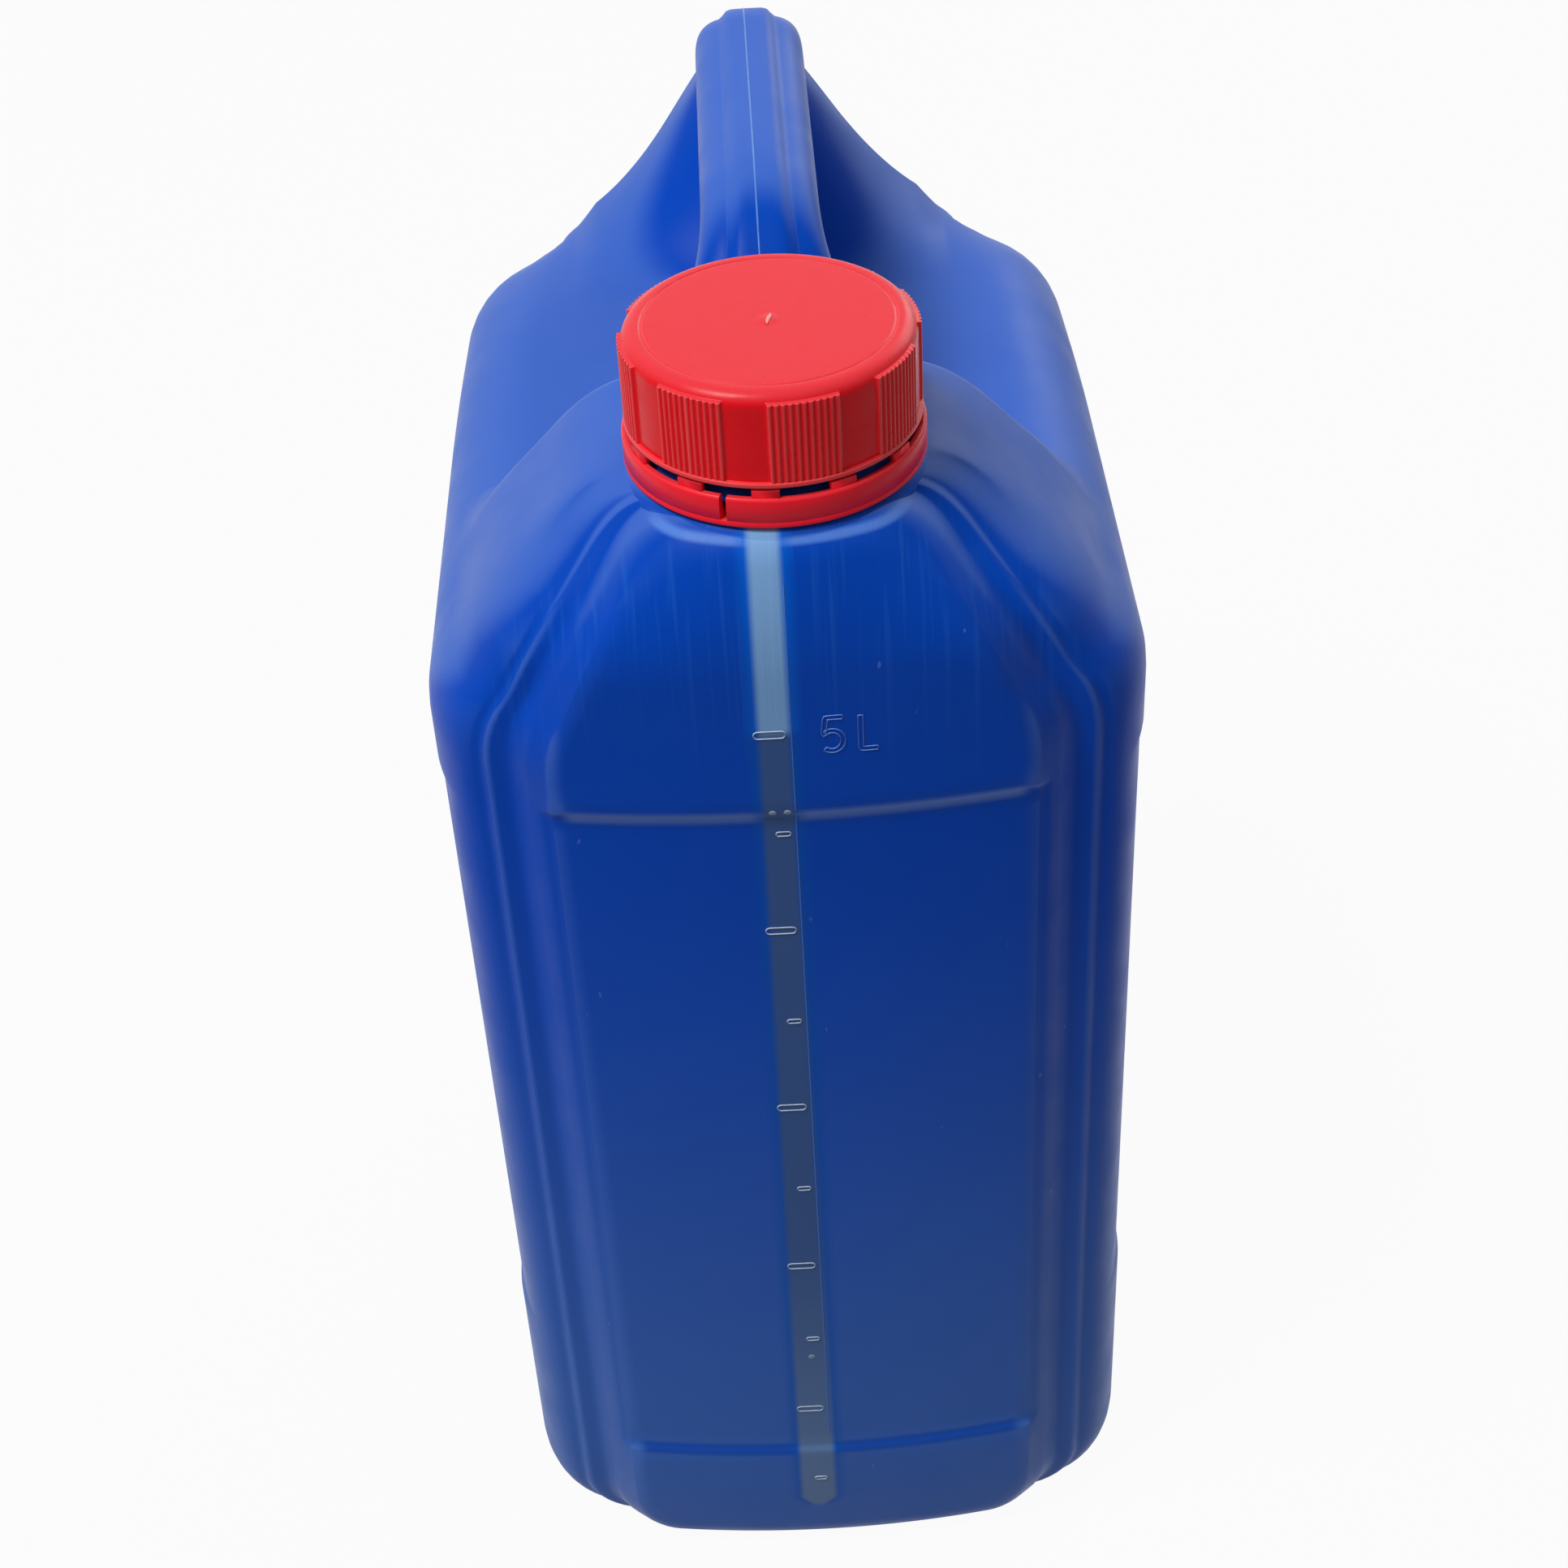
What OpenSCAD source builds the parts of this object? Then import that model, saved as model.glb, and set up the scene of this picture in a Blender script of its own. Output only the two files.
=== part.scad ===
// Five litre canister with a moulded handle, a screw cap and a tamper ring.
// Millimetres, +Z up, origin at the middle of the base, the narrow front with the neck looks along -Y.

/* [Tank] */
// width across the two long sides
body_w = 131; // [125:1:137]
// length from the narrow front to the narrow back
body_l = 190; // [180:1:200]
// height of the level top between the neck and the handle post
tank_h = 237; // [225:1:250]
// wall of the blow moulding
wall = 1.6; // [1.2:0.1:2]
// rounding between the base and the long sides
foot_r = 14; // [10:1:16]
// rounding between the base and the narrow ends
toe_r = 6; // [4:1:8]
// rounding between the walls and the level top
shoulder_r = 18; // [15:1:20]
// length over which the rear corners of the level top fall towards the back
rear_r = 60; // [50:1:66]
// height by which the middle of the base is pushed up
push_up = 2.5; // [0:0.5:4]

/* [Narrow ends] */
// radius of the bulge of the narrow ends
crown_r = 250; // [200:10:400]
// half width of the raised middle panel
panel_half = 43; // [40:1:46]
// depth from the panel to the bottom of the corner groove
groove_depth = 7.2; // [5:0.2:9]
// length of the rounded corner behind the groove
corner_run = 27; // [22:1:30]
// how far the front leans back at its top
lean = 5.6; // [3:0.2:7]

/* [Label fields] */
// depth of the sunk fields on the narrow ends
end_label_depth = 0.9; // [0.5:0.1:1.2]
// depth of the sunk fields on the long sides
side_label_depth = 0.6; // [0.4:0.1:1]
// lower edge of the field on a narrow end
end_label_lo = 35; // [33:1:44]
// upper edge of the field on a narrow end
end_label_hi = 212; // [211:0.5:214]
// lower edge of the field on a long side
side_label_lo = 62; // [55:1:80]
// upper edge of the field on a long side
side_label_hi = 207; // [190:1:207]

/* [Neck tower] */
// height of the tower above the level top
tower_rise = 30; // [26:1:32]
// half width of the tower at its foot
tower_foot = 59; // [57:0.5:61]
// rise of the tower's side planes for each millimetre across
tower_slope = 1.06; // [0.98:0.02:1.14]
// rounding between the tower's side planes and its flat top
tower_round = 9; // [6:1:10]
// distance from the front to the tower's back edge
tower_back = 60; // [58:1:63]
// length over which the tower's back falls to the level top
tower_fall = 16; // [12:1:20]

/* [Handle] */
// height of the post above the level top
post_rise = 39; // [34:1:40]
// half width of the post's flare where it meets the level top
post_foot = 41; // [38:0.5:43]
// length over which the post rises from the level top
post_run = 42; // [36:1:46]
// top of the handle above the level top
handle_rise = 53; // [50:1:56]
// width of the handle
handle_w = 22.2; // [20.6:0.2:23]
// height of the handle's section
handle_d = 22; // [20:0.5:23]
// width of the raised band along the handle
band_w = 9; // [7.5:0.5:10]
// height of the raised band along the handle
band_h = 1.5; // [1:0.1:2]
// outer radius of the handle's rear bend
rear_bend = 29; // [27:0.5:29.5]
// radius of the handle's front bend, along its middle line
front_bend = 24; // [20:1:28]
// distance from the front to the start of the front bend
bend_at = 100; // [96:1:104]
// angle by which the front leg turns down
leg_angle = 50; // [46:1:54]
// share by which the front leg has widened at the end of its bend
leg_flare = 0.28; // [0.1:0.01:0.32]

/* [Neck and cap] */
// distance from the front to the neck's axis
neck_back = 32.3; // [32:0.1:33]
// bore of the neck
bore_d = 36; // [33:0.5:37]
// neck diameter below the thread's ridge
neck_d = 41.2; // [40.6:0.1:41.4]
// height of the thread's ridge over the neck
thread_h = 1.7; // [1.3:0.1:1.8]
// rise of the thread in one turn
thread_pitch = 4.2; // [4:0.1:4.6]
// turns of the thread
thread_turns = 1.75; // [1.5:0.25:2]
// clearance between parts that move past each other
gap = 0.4; // [0.3:0.05:0.5]
// outer diameter of the cap's skirt between the grip fields
cap_d = 49.6; // [49:0.1:50]
// height of the cap without its tamper ring
cap_h = 17; // [16:0.5:18]
// thickness of the cap's top
cap_top = 1.8; // [1.4:0.1:2.2]
// rounding of the cap's top edge
cap_edge = 2.6; // [2:0.2:3]
// number of ribbed grip fields round the cap
grip_fields = 8; // [6:1:9]
// number of ribs in a grip field
grip_ribs = 11; // [8:1:12]
// angle of a grip field
grip_angle = 28.5; // [24:0.5:32]
// height of the pad that carries the ribs of a grip field
grip_root = 0.3; // [0.2:0.05:0.4]
// height of a grip rib over the skirt
grip_h = 0.6; // [0.5:0.05:0.7]
// thickness of the sealing disc in the cap
liner_t = 1.2; // [1:0.1:1.5]

/* [Tamper ring] */
// outer diameter of the tamper ring
ring_d = 52; // [51.4:0.1:52.4]
// height of the tamper ring
ring_h = 5.6; // [5:0.1:6]
// wall of the tamper ring
ring_wall = 1.5; // [1.3:0.1:1.7]
// height of the parting gap between ring and cap
ring_gap = 1.8; // [1.6:0.1:2.2]
// number of parted bridges on the ring
bridges = 12; // [10:1:14]
// angle of the ring's slit, counted from the front
slit_angle = -21; // [-30:1:30]

/* [Hidden] */
half = body_w / 2;
back = body_l / 2;
tower_top = tank_h + tower_rise;
handle_top = tank_h + handle_rise;
wall_top = tank_h - shoulder_r;
neck_y = neck_back - back;
neck_r = neck_d / 2;
cap_r = cap_d / 2;
ring_r = ring_d / 2;

// Heights of the closure, from the ring's seat up to the cap's top.
seat_h = 0.6;
ring_z = tower_top + seat_h;
cap_z = ring_z + ring_h + ring_gap;
cap_top_z = cap_z + cap_h;
seal_gap = 0.3;
liner_z = cap_top_z - cap_top - seal_gap - liner_t;
rim_z = liner_z - seal_gap;

// Neck: flange under the ring, bead over the ring's lip, screw ridge.
flange_r = ring_r - ring_wall;
flange_flare = 1.4;
flange_sink = 3;
ring_lip = 2;
bead_z = ring_z + ring_lip + 1;
bead_h = 1.8;
bead_r = neck_r + 2.9;
bead_slope = 0.8;
bore_sink = 8;
thread_below_rim = 3;
thread_z = rim_z - thread_below_rim - thread_turns * thread_pitch;
ridge_root = 1;
ridge_crest = 0.45;
ridge_seat = 0.5;

// Cap: bore, lip, grip fields, ring groove and moulding nub of the top.
cap_in_r = neck_r + thread_h + gap;
lip_h = 0.9;
lip_out = 0.1;
grip_turn = -79;
grip_below_top = 1.5;
grip_sink = 0.8;
top_groove_at = 0.86;
top_groove_w = 0.5;
top_groove_h = 0.2;
nub_r = 1.5;
nub_tip_r = 1;
nub_h = 0.5;

// Tamper ring: bridges and slit.
bridge_w = 4.6;
bridge_t = 1.1;
bridge_sink = 0.5;
bridge_turn = -5;
slit_w = 1.2;
slit_foot = 1.2;

// Corner of the body: groove, ridge and rounding behind them.
groove_in = half - panel_half - groove_depth;
ridge_in = groove_in - 5;
ridge_step = 2;
corner_len = groove_depth + ridge_step + corner_run;
post_at = body_l - post_run - 6;
post_round = 22;
$fn = 96;

function limit(v, a = 0, b = 1) = min(max(v, a), b);
function ease(t) = let (u = limit(t)) u * u * (3 - 2 * u);
function rounding(e, r) = e >= r ? 0 : r - sqrt(r * r - (r - e) * (r - e));

// Height of the top over the level top, x across from the middle and d back from the front.
function tower(x) =
    let (
        plane = (tower_foot - x) * tower_slope,
        near = max(0, tower_round - abs(plane - tower_rise)) / tower_round
    )
    limit(min(plane, tower_rise) - near * near * tower_round / 4, 0, tower_rise);
flare_slope = 0.45;
flare_curve = 0.022;
function flare(x) =
    let (t = max(0, post_foot - x))
    min(post_rise, flare_slope * t + flare_curve * t * t);
function rise(x, d) = max(
    tower(x) * (1 - ease((d - tower_back) / tower_fall)),
    flare(x) * ease((d - post_at) / post_run));

// Fall of the level top towards the back, from beside the post out to the long sides.
rear_from = 36;
rear_slope = 0.8;
rear_most = 0.8 * shoulder_r;
function rear_fall(x, d) =
    limit((x - rear_from) * rear_slope, 0, rear_most) * rounding(body_l - d, rear_r) / rear_r;

// Share by which the body narrows towards the back.
rear_taper = 0.02;
taper_from = 110;
taper_run = 70;
function narrowing(d) = 1 - rear_taper * ease((d - taper_from) / taper_run);

// Heights over which an end face draws back at its foot and leans back at its top.
toe_h = 30;
toe_in = 2.5;
lean_h = 26;
lean_bow = 0.0135;

// Depth of a narrow end behind its foremost point, without the corner profile.
function end_face(x, z, front) =
    let (
        c = min(x, panel_half),
        t = limit((z - tower_top + lean_h) / lean_h),
        high = limit(z - handle_top + rear_bend + 3, 0, post_round),
        foot = limit(1 - z / toe_h)
    )
    crown_r - sqrt(crown_r * crown_r - c * c)
    + toe_in * foot * foot
    + (front ? t * t * (lean + lean_bow * x * x)
        : post_round - sqrt(post_round * post_round - high * high));

// Depths of the sunk fields at a height. edge is half the height over which a field sets in.
end_edge = 1;
side_edge = 1.5;
function field(z, lo, hi, edge) =
    ease((z - lo + edge) / (2 * edge)) * ease((hi + edge - z) / (2 * edge));
function end_label(z) = end_label_depth * field(z, end_label_lo, end_label_hi, end_edge);
function side_label(z) = side_label_depth * field(z, side_label_lo, side_label_hi, side_edge);

// Distances from an end at which the side fields and the pushed-up base set in, and their run.
field_at = 12;
field_run = 14;
push_at = 14;
push_run = 20;

// Right half of a cross-section as points [across, up], from the middle of the base to the ridge.
function half_section(d, rows, bends, roof) =
    let (
        inner = half - foot_r,
        flat = half - shoulder_r,
        end = min(d, body_l - d),
        sunk = ease((end - field_at) / field_run),
        push = push_up * ease((end - push_at) / push_run)
    )
    concat(
        [[0, push], [0.42 * inner, 0.6 * push], [0.84 * inner, 0]],
        [for (k = [0:bends])
            let (a = 90 * k / bends)
            [inner + foot_r * sin(a), foot_r * (1 - cos(a))]],
        [for (z = rows) [half - sunk * side_label(z), z]],
        [for (k = [0:bends])
            let (a = 90 * k / bends, x = flat + shoulder_r * cos(a))
            [x, wall_top + shoulder_r * sin(a) + rise(x, d)]],
        [for (k = [1:roof])
            let (x = flat * (1 - k / roof))
            [x, tank_h + rise(x, d)]]);

// Shares by which the rings inside an end face draw up from the base, down from the top and in.
draw_up = 0.55;
draw_down = 0.62;
draw_arch = 0.03;
post_draw_down = 0.8;
post_draw_in = 1.45;

// Rounded rim of the end faces, and how far across it reaches before it fades into the corners.
rim_r = 4;
tower_reach = 46;
tower_blend = 14;
post_reach = post_foot + 27.5;
post_blend = 27;

// A whole ring of the skin. inset narrows the section, e is the depth behind the end face.
function ring(inset, e, keep, front, rows, bends, roof) =
    let (
        d = front ? e : body_l - e,
        nest = max(0, inset - half + panel_half),
        lift = rounding(e, toe_r) + nest * draw_up,
        fall = nest * (front ? draw_down : post_draw_down),
        edge = front ? inset : rounding(e, rim_r) + nest * post_draw_in,
        reach = front ? tower_reach : post_reach,
        blend = front ? tower_blend : post_blend,
        points = [for (p = half_section(d, rows, bends, roof))
            let (
                top = p[1] > wall_top ? 1 : 0,
                w = top * ease((reach - p[0]) / blend),
                x = p[0] * (1 - (inset + (edge - inset) * w) / half) * narrowing(d),
                over = max(0, p[1] - wall_top),
                share = front ? over / (tower_top - wall_top) : (p[1] - tank_h) / post_rise,
                edge_fall = max(w * rounding(e, rim_r), rear_fall(p[0], d)),
                drop = fall * limit(share) + edge_fall * limit(over / shoulder_r),
                side = top > 0 ? 1 : p[1] < foot_r ? -1 : 0,
                arch = side * nest * draw_arch * (1 - p[0] / half),
                z = p[1] - drop + lift * limit(1 - p[1] / (end_label_lo - 2)) + arch,
                label = nest > 0 || e == 0 ? end_label(z) : 0,
                depth = keep * (end_face(x, z, front) + label) + e
            )
            [x, front ? depth - back : back - depth, z]],
        n = len(points)
    )
    concat(points, [for (k = [n - 2:-1:1]) [-points[k][0], points[k][1], points[k][2]]]);

// Corner profile from the panel over the groove and the ridge to the long side: [inset, depth].
panel_edge = 4;
panel_left = 3;
function corner(arc, turn) =
    concat(
        [for (k = [0:arc])
            let (a = 90 * k / arc)
            [groove_in + panel_left + (groove_depth - panel_left) * cos(a), panel_edge * (1 - cos(a))]],
        [[groove_in + panel_left / 2, groove_depth - 1.2], [groove_in, groove_depth]],
        [[ridge_in + 0.9, groove_depth + 0.4]],
        [for (k = [0:turn])
            let (a = 90 * k / turn)
            [ridge_in * (1 - sin(a)), groove_depth + ridge_step + corner_run * (1 - cos(a))]]);

// Rings over a narrow end, from its middle out to the long sides.
function end_rings(front, steps, arc, turn, rows, bends, roof) =
    concat(
        [for (k = [0:steps - 1])
            let (inset = half - 1 - (panel_half - 1) * k / steps)
            ring(inset, 0, 1, front, rows, bends, roof)],
        [for (c = corner(arc, turn))
            let (keep = 1 - ease((c[1] - groove_depth) / (corner_len - groove_depth)))
            ring(c[0], c[1], keep, front, rows, bends, roof)]);

function reversed(list) = [for (k = [len(list) - 1:-1:0]) list[k]];

// Rings over the long sides between the two rounded ends.
function side_rings(stations, rows, bends, roof) =
    [for (d = stations) ring(0, d, 0, true, rows, bends, roof)];

function skin(steps, arc, turn, stations, rows, bends, roof) =
    concat(
        end_rings(true, steps, arc, turn, rows, bends, roof),
        side_rings(stations, rows, bends, roof),
        reversed(end_rings(false, steps, arc, turn, rows, bends, roof)));

// Skin moved inwards by a distance along its own normals.
function unit(v) = v / max(norm(v), 0.000001);
function inward(g, t) =
    let (m = len(g), n = len(g[0]))
    [for (i = [0:m - 1]) [for (j = [0:n - 1])
        let (
            a = g[min(i + 1, m - 1)][j] - g[max(i - 1, 0)][j],
            b = g[i][(j + 1) % n] - g[i][(j + n - 1) % n]
        )
        g[i][j] + t * (i == 0 ? [0, 1, 0] : i == m - 1 ? [0, -1, 0] : -unit(cross(a, b)))]];

// Two triangles over the corners of a four-sided face.
function two_faces(a, b, c, d) = [[a, b, d], [b, c, d]];

// Closed solid over rings of equal length. The end rings are zipped shut across the middle.
module stack(g) {
    m = len(g);
    n = len(g[0]);
    h = n / 2;
    polyhedron(
        points = [for (r = g) each r],
        faces = concat(
            [for (i = [0:m - 2]) for (j = [0:n - 1])
                let (k = (j + 1) % n)
                each two_faces(i * n + j, i * n + k, (i + 1) * n + k, (i + 1) * n + j)],
            [for (j = [0:h - 1])
                let (p = j, q = j + 1, r = n - j - 1, s = (n - j) % n)
                each p == s ? [[p, r, q]] : q == r ? [[p, s, q]] : [[p, s, r], [p, r, q]]],
            [for (j = [0:h - 1])
                let (o = (m - 1) * n, p = o + j, q = o + j + 1, r = o + n - j - 1, s = o + (n - j) % n)
                each p == s ? [[p, q, r]] : q == r ? [[p, q, s]] : [[p, q, r], [p, r, s]]]));
}

mid_row = (side_label_lo + side_label_hi) / 2;
fine_rows = [
    end_label_lo - end_edge, end_label_lo + end_edge,
    side_label_lo - side_edge, side_label_lo + side_edge, mid_row,
    side_label_hi - side_edge, side_label_hi + side_edge,
    end_label_hi - end_edge, end_label_hi + end_edge];
plain_from = tower_back + tower_fall;
function spread(a, b, n) = [for (k = [1:n]) a + (b - a) * k / n];
fine_stations = concat(
    [tower_back - 12, tower_back - 3],
    [for (k = [0:5]) tower_back + tower_fall * k / 5],
    spread(plain_from, post_at, 4),
    [for (k = [1:2]) post_at + post_run * k / 8]);
coarse_rows = [end_label_lo, mid_row, end_label_hi];
coarse_stations = concat(
    [tower_back - 10],
    [for (k = [0:4]) tower_back + tower_fall * k / 4],
    spread(plain_from, post_at, 2),
    [for (k = [1:2]) post_at + post_run * k / 8]);

module tank() {
    stack(skin(4, 3, 6, fine_stations, fine_rows, 3, 11));
}

module tank_cavity() {
    stack(inward(skin(2, 1, 4, coarse_stations, coarse_rows, 3, 11), wall));
}

// Middle line of the handle as stations [back from the front, up, angle of its outer side, widening].
rear_mid = rear_bend - handle_d / 2;
rear_d = body_l - 1 - handle_d / 2;
bar_z = handle_top - handle_d / 2;
leg_turn = 90 + leg_angle;
leg_len = 38;
leg_spread = 2.4;
post_sink = 17;
oval_power = 0.62;
function handle_path(steps) =
    concat(
        [[rear_d, bar_z - rear_mid - post_sink, 0, 1]],
        [for (k = [0:steps])
            let (a = 90 * k / steps)
            [rear_d - rear_mid * (1 - cos(a)), bar_z - rear_mid * (1 - sin(a)), a, 1]],
        [for (k = [0:steps])
            let (a = 90 + leg_angle * k / steps, widening = 1 + leg_flare * pow(k / steps, 3))
            [bend_at + front_bend * cos(a), bar_z - front_bend * (1 - sin(a)), a, widening]],
        [for (k = [1:2])
            let (run = leg_len * k / 2)
            [bend_at + front_bend * cos(leg_turn) - run * sin(leg_turn),
                bar_z - front_bend * (1 - sin(leg_turn)) + run * cos(leg_turn),
                leg_turn, 1 + leg_flare * (1 + leg_spread * k / 2)]]);

// Rounded section of the handle as points [across, outwards], with the raised band on its outer side.
function power(v) = sign(v) * pow(abs(v), oval_power);
function oval(a, w, h) = [w / 2 * abs(power(cos(a))), h / 2 * power(sin(a))];
function mirrored(list) =
    concat(list, [for (k = [len(list) - 2:-1:1]) [-list[k][0], list[k][1]]]);
handle_outer = mirrored(concat(
    [for (k = [0:3]) oval(-90 + 30 * k, handle_w, handle_d)],
    [for (k = [1:2]) oval(30 * k, handle_w, handle_d - 2 * band_h)],
    [[band_w / 2 + band_h, handle_d / 2 - band_h], [band_w / 2, handle_d / 2 - 0.3 * band_h],
        [band_w / 3, handle_d / 2], [0, handle_d / 2]]));
hollow_w = handle_w - 2 * wall;
hollow_d = handle_d - band_h - 2 * wall;
handle_inner = mirrored([for (k = [0:6]) oval(-90 + 30 * k, hollow_w, hollow_d) - [0, band_h / 2]]);

// Closed solid swept along stations of the handle's middle line.
module sweep(path, section) {
    n = len(section);
    m = len(path);
    polyhedron(
        points = [for (s = path) for (q = section)
            [q[0] * s[3], s[0] + q[1] * cos(s[2]) - back, s[1] + q[1] * sin(s[2])]],
        faces = concat(
            [[for (j = [0:n - 1]) j]],
            [[for (j = [n - 1:-1:0]) (m - 1) * n + j]],
            [for (i = [0:m - 2]) for (j = [0:n - 1])
                let (k = (j + 1) % n)
                each two_faces(i * n + k, i * n + j, (i + 1) * n + j, (i + 1) * n + k)]));
}

// Screw ridge from its root radius to its crest radius, running out at both ends.
module screw_ridge(root_r, crest_r, z0, turns) {
    n = round(24 * turns);
    side = sign(crest_r - root_r);
    polyhedron(
        points = [for (i = [0:n])
            let (
                a = 360 * turns * i / n,
                z = z0 + thread_pitch * turns * i / n,
                run_out = limit(min(i, n - i) / 3, 0.15, 1),
                r = root_r + (crest_r - root_r) * run_out
            )
            each [for (q = [[root_r, -ridge_root], [r, -ridge_crest], [r, ridge_crest],
                    [root_r, ridge_root]])
                [q[0] * cos(a), q[0] * sin(a), z + side * q[1]]]],
        faces = concat(
            [[0, 3, 2, 1], [4 * n, 4 * n + 1, 4 * n + 2, 4 * n + 3]],
            [for (i = [0:n - 1]) for (j = [0:3])
                let (k = (j + 1) % 4)
                each two_faces(4 * i + j, 4 * i + k, 4 * i + 4 + k, 4 * i + 4 + j)]));
}

// Neck with its seat for the tamper ring, the bead that holds the ring and the screw ridge.
module neck() {
    foot_z = tower_top - flange_sink;
    translate([0, neck_y, 0]) {
        translate([0, 0, foot_z])
            cylinder(r1 = flange_r + flange_flare, r2 = flange_r, h = ring_z - foot_z);
        translate([0, 0, foot_z]) cylinder(r = neck_r, h = rim_z - foot_z);
        translate([0, 0, bead_z]) cylinder(r1 = bead_r, r2 = bead_r - bead_slope, h = bead_h);
        screw_ridge(neck_r - ridge_seat, neck_r + thread_h, thread_z, thread_turns);
    }
}

module bore() {
    foot_z = tower_top - bore_sink;
    translate([0, neck_y, foot_z]) cylinder(d = bore_d, h = rim_z - foot_z + 1);
}

module jug_body() {
    color("#1f4fa8")
    difference() {
        union() {
            tank();
            sweep(handle_path(5), handle_outer);
            neck();
        }
        tank_cavity();
        sweep(handle_path(4), handle_inner);
        bore();
    }
}

// Outline of the cap from its axis, with the lip below and the rounded edge above.
module cap_outline() {
    square([cap_r - cap_edge, cap_h]);
    square([cap_r, cap_h - cap_edge]);
    translate([cap_r - cap_edge, cap_h - cap_edge]) circle(r = cap_edge);
    square([cap_r + grip_h + lip_out, lip_h]);
}

// Pad with its ribs over one grip field, looking along the axis.
module grip_field() {
    step = grip_angle / grip_ribs;
    rib = [[0.05, grip_root], [0.3, grip_h], [0.7, grip_h], [0.95, grip_root]];
    outer = [for (k = [0:grip_ribs - 1]) for (q = rib)
        let (a = (k + q[0]) * step - grip_angle / 2)
        (cap_r + q[1]) * [cos(a), sin(a)]];
    inner = [for (k = [4:-1:0])
        let (a = grip_angle * (k / 4 - 0.5))
        (cap_r - grip_sink) * [cos(a), sin(a)]];
    polygon(concat(outer, inner));
}

module grip_fields_round() {
    foot = lip_h / 2;
    for (k = [0:grip_fields - 1])
        rotate(grip_turn + 360 / grip_fields * k)
            translate([0, 0, foot])
                linear_extrude(cap_h - grip_below_top - foot) grip_field();
}

module top_groove() {
    translate([0, 0, cap_h - top_groove_h])
        rotate_extrude() translate([top_groove_at * cap_r - top_groove_w / 2, 0]) square([top_groove_w, 1]);
}

module screw_cap() {
    ridge_z = thread_z + thread_pitch / 2 - cap_z;
    color("#d3202c")
    translate([0, neck_y, cap_z]) {
        difference() {
            union() {
                rotate_extrude() cap_outline();
                grip_fields_round();
            }
            translate([0, 0, -1]) cylinder(r = cap_in_r, h = cap_h - cap_top + 1);
            top_groove();
        }
        screw_ridge(cap_in_r + ridge_seat, neck_r + 1.5 * gap, ridge_z, thread_turns - 0.25);
        translate([0, 0, cap_h - cap_top / 2])
            cylinder(r1 = nub_r, r2 = nub_tip_r, h = cap_top / 2 + nub_h);
    }
}

module cap_liner() {
    color("#e8e6df")
    translate([0, neck_y, liner_z]) cylinder(r = cap_in_r - gap, h = liner_t);
}

module ring_bridges() {
    foot = ring_h - bridge_sink;
    for (k = [0:bridges - 1])
        rotate(360 / bridges * k + bridge_turn)
            translate([ring_r - ring_wall - 0.2, -bridge_w / 2, foot])
                cube([bridge_t, bridge_w, ring_h + ring_gap - gap - foot]);
}

module tamper_ring() {
    color("#c41a26")
    translate([0, neck_y, ring_z])
    difference() {
        union() {
            cylinder(r = ring_r, h = ring_h);
            ring_bridges();
        }
        translate([0, 0, ring_lip]) cylinder(r = ring_r - ring_wall, h = ring_h + ring_gap);
        translate([0, 0, -1]) cylinder(r = neck_r + 2 * gap, h = ring_lip + 2);
        rotate(slit_angle - 90)
            translate([ring_r - 1.5 * ring_wall, -slit_w / 2, slit_foot])
                cube([2 * ring_wall, slit_w, ring_h]);
    }
}

jug_body();
screw_cap();
cap_liner();
tamper_ring();
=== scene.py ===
"""Looks of a blue five-litre canister with a red screw cap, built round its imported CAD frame."""

import math

import bpy
import numpy as np
from mathutils import Matrix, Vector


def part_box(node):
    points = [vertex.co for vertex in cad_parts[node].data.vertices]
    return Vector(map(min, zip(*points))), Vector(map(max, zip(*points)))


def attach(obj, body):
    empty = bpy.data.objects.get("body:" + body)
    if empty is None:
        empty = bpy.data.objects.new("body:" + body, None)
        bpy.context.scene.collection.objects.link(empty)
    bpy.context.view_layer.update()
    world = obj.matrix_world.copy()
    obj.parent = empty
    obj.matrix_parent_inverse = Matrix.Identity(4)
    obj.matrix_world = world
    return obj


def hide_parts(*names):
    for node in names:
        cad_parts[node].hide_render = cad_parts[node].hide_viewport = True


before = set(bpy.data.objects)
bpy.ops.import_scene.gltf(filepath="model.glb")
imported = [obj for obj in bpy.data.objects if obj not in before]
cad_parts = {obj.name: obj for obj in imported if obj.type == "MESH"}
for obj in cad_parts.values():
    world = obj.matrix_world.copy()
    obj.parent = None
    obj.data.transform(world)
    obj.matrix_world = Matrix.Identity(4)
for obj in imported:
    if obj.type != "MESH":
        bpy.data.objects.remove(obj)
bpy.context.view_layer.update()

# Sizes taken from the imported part, in millimetres
MM = 0.001
body_high = np.array(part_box("jug_body")[1]) / MM
cap_low, cap_high = (np.array(c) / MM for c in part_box("screw_cap"))
ring_low, ring_high = (np.array(c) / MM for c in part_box("tamper_ring"))
HALF = body_high[0]
BACK = body_high[1]
LENGTH = 2 * BACK
HANDLE_TOP = body_high[2]

# Tank: walls, foot, shoulder and the fall of its top towards the back
TANK_TOP = 237.0
WALL_TOP = 219.0
FOOT_R = 14.0
TOE_R = 6.0
TOE_H = 30.0
TOE_IN = 2.5
SHOULDER_R = TANK_TOP - WALL_TOP
REAR_R = 60.0
REAR_FROM = 36.0
REAR_SLOPE = 0.8
REAR_MOST = 0.8 * SHOULDER_R
REAR_TAPER = 0.02
TAPER_FROM = 110.0
TAPER_RUN = 70.0
PUSH_UP = 2.5
PUSH_FROM = 14.0
PUSH_RUN = 20.0
PUSH_FLAT = 1.2
PUSH_FALL = 1.5

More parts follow.
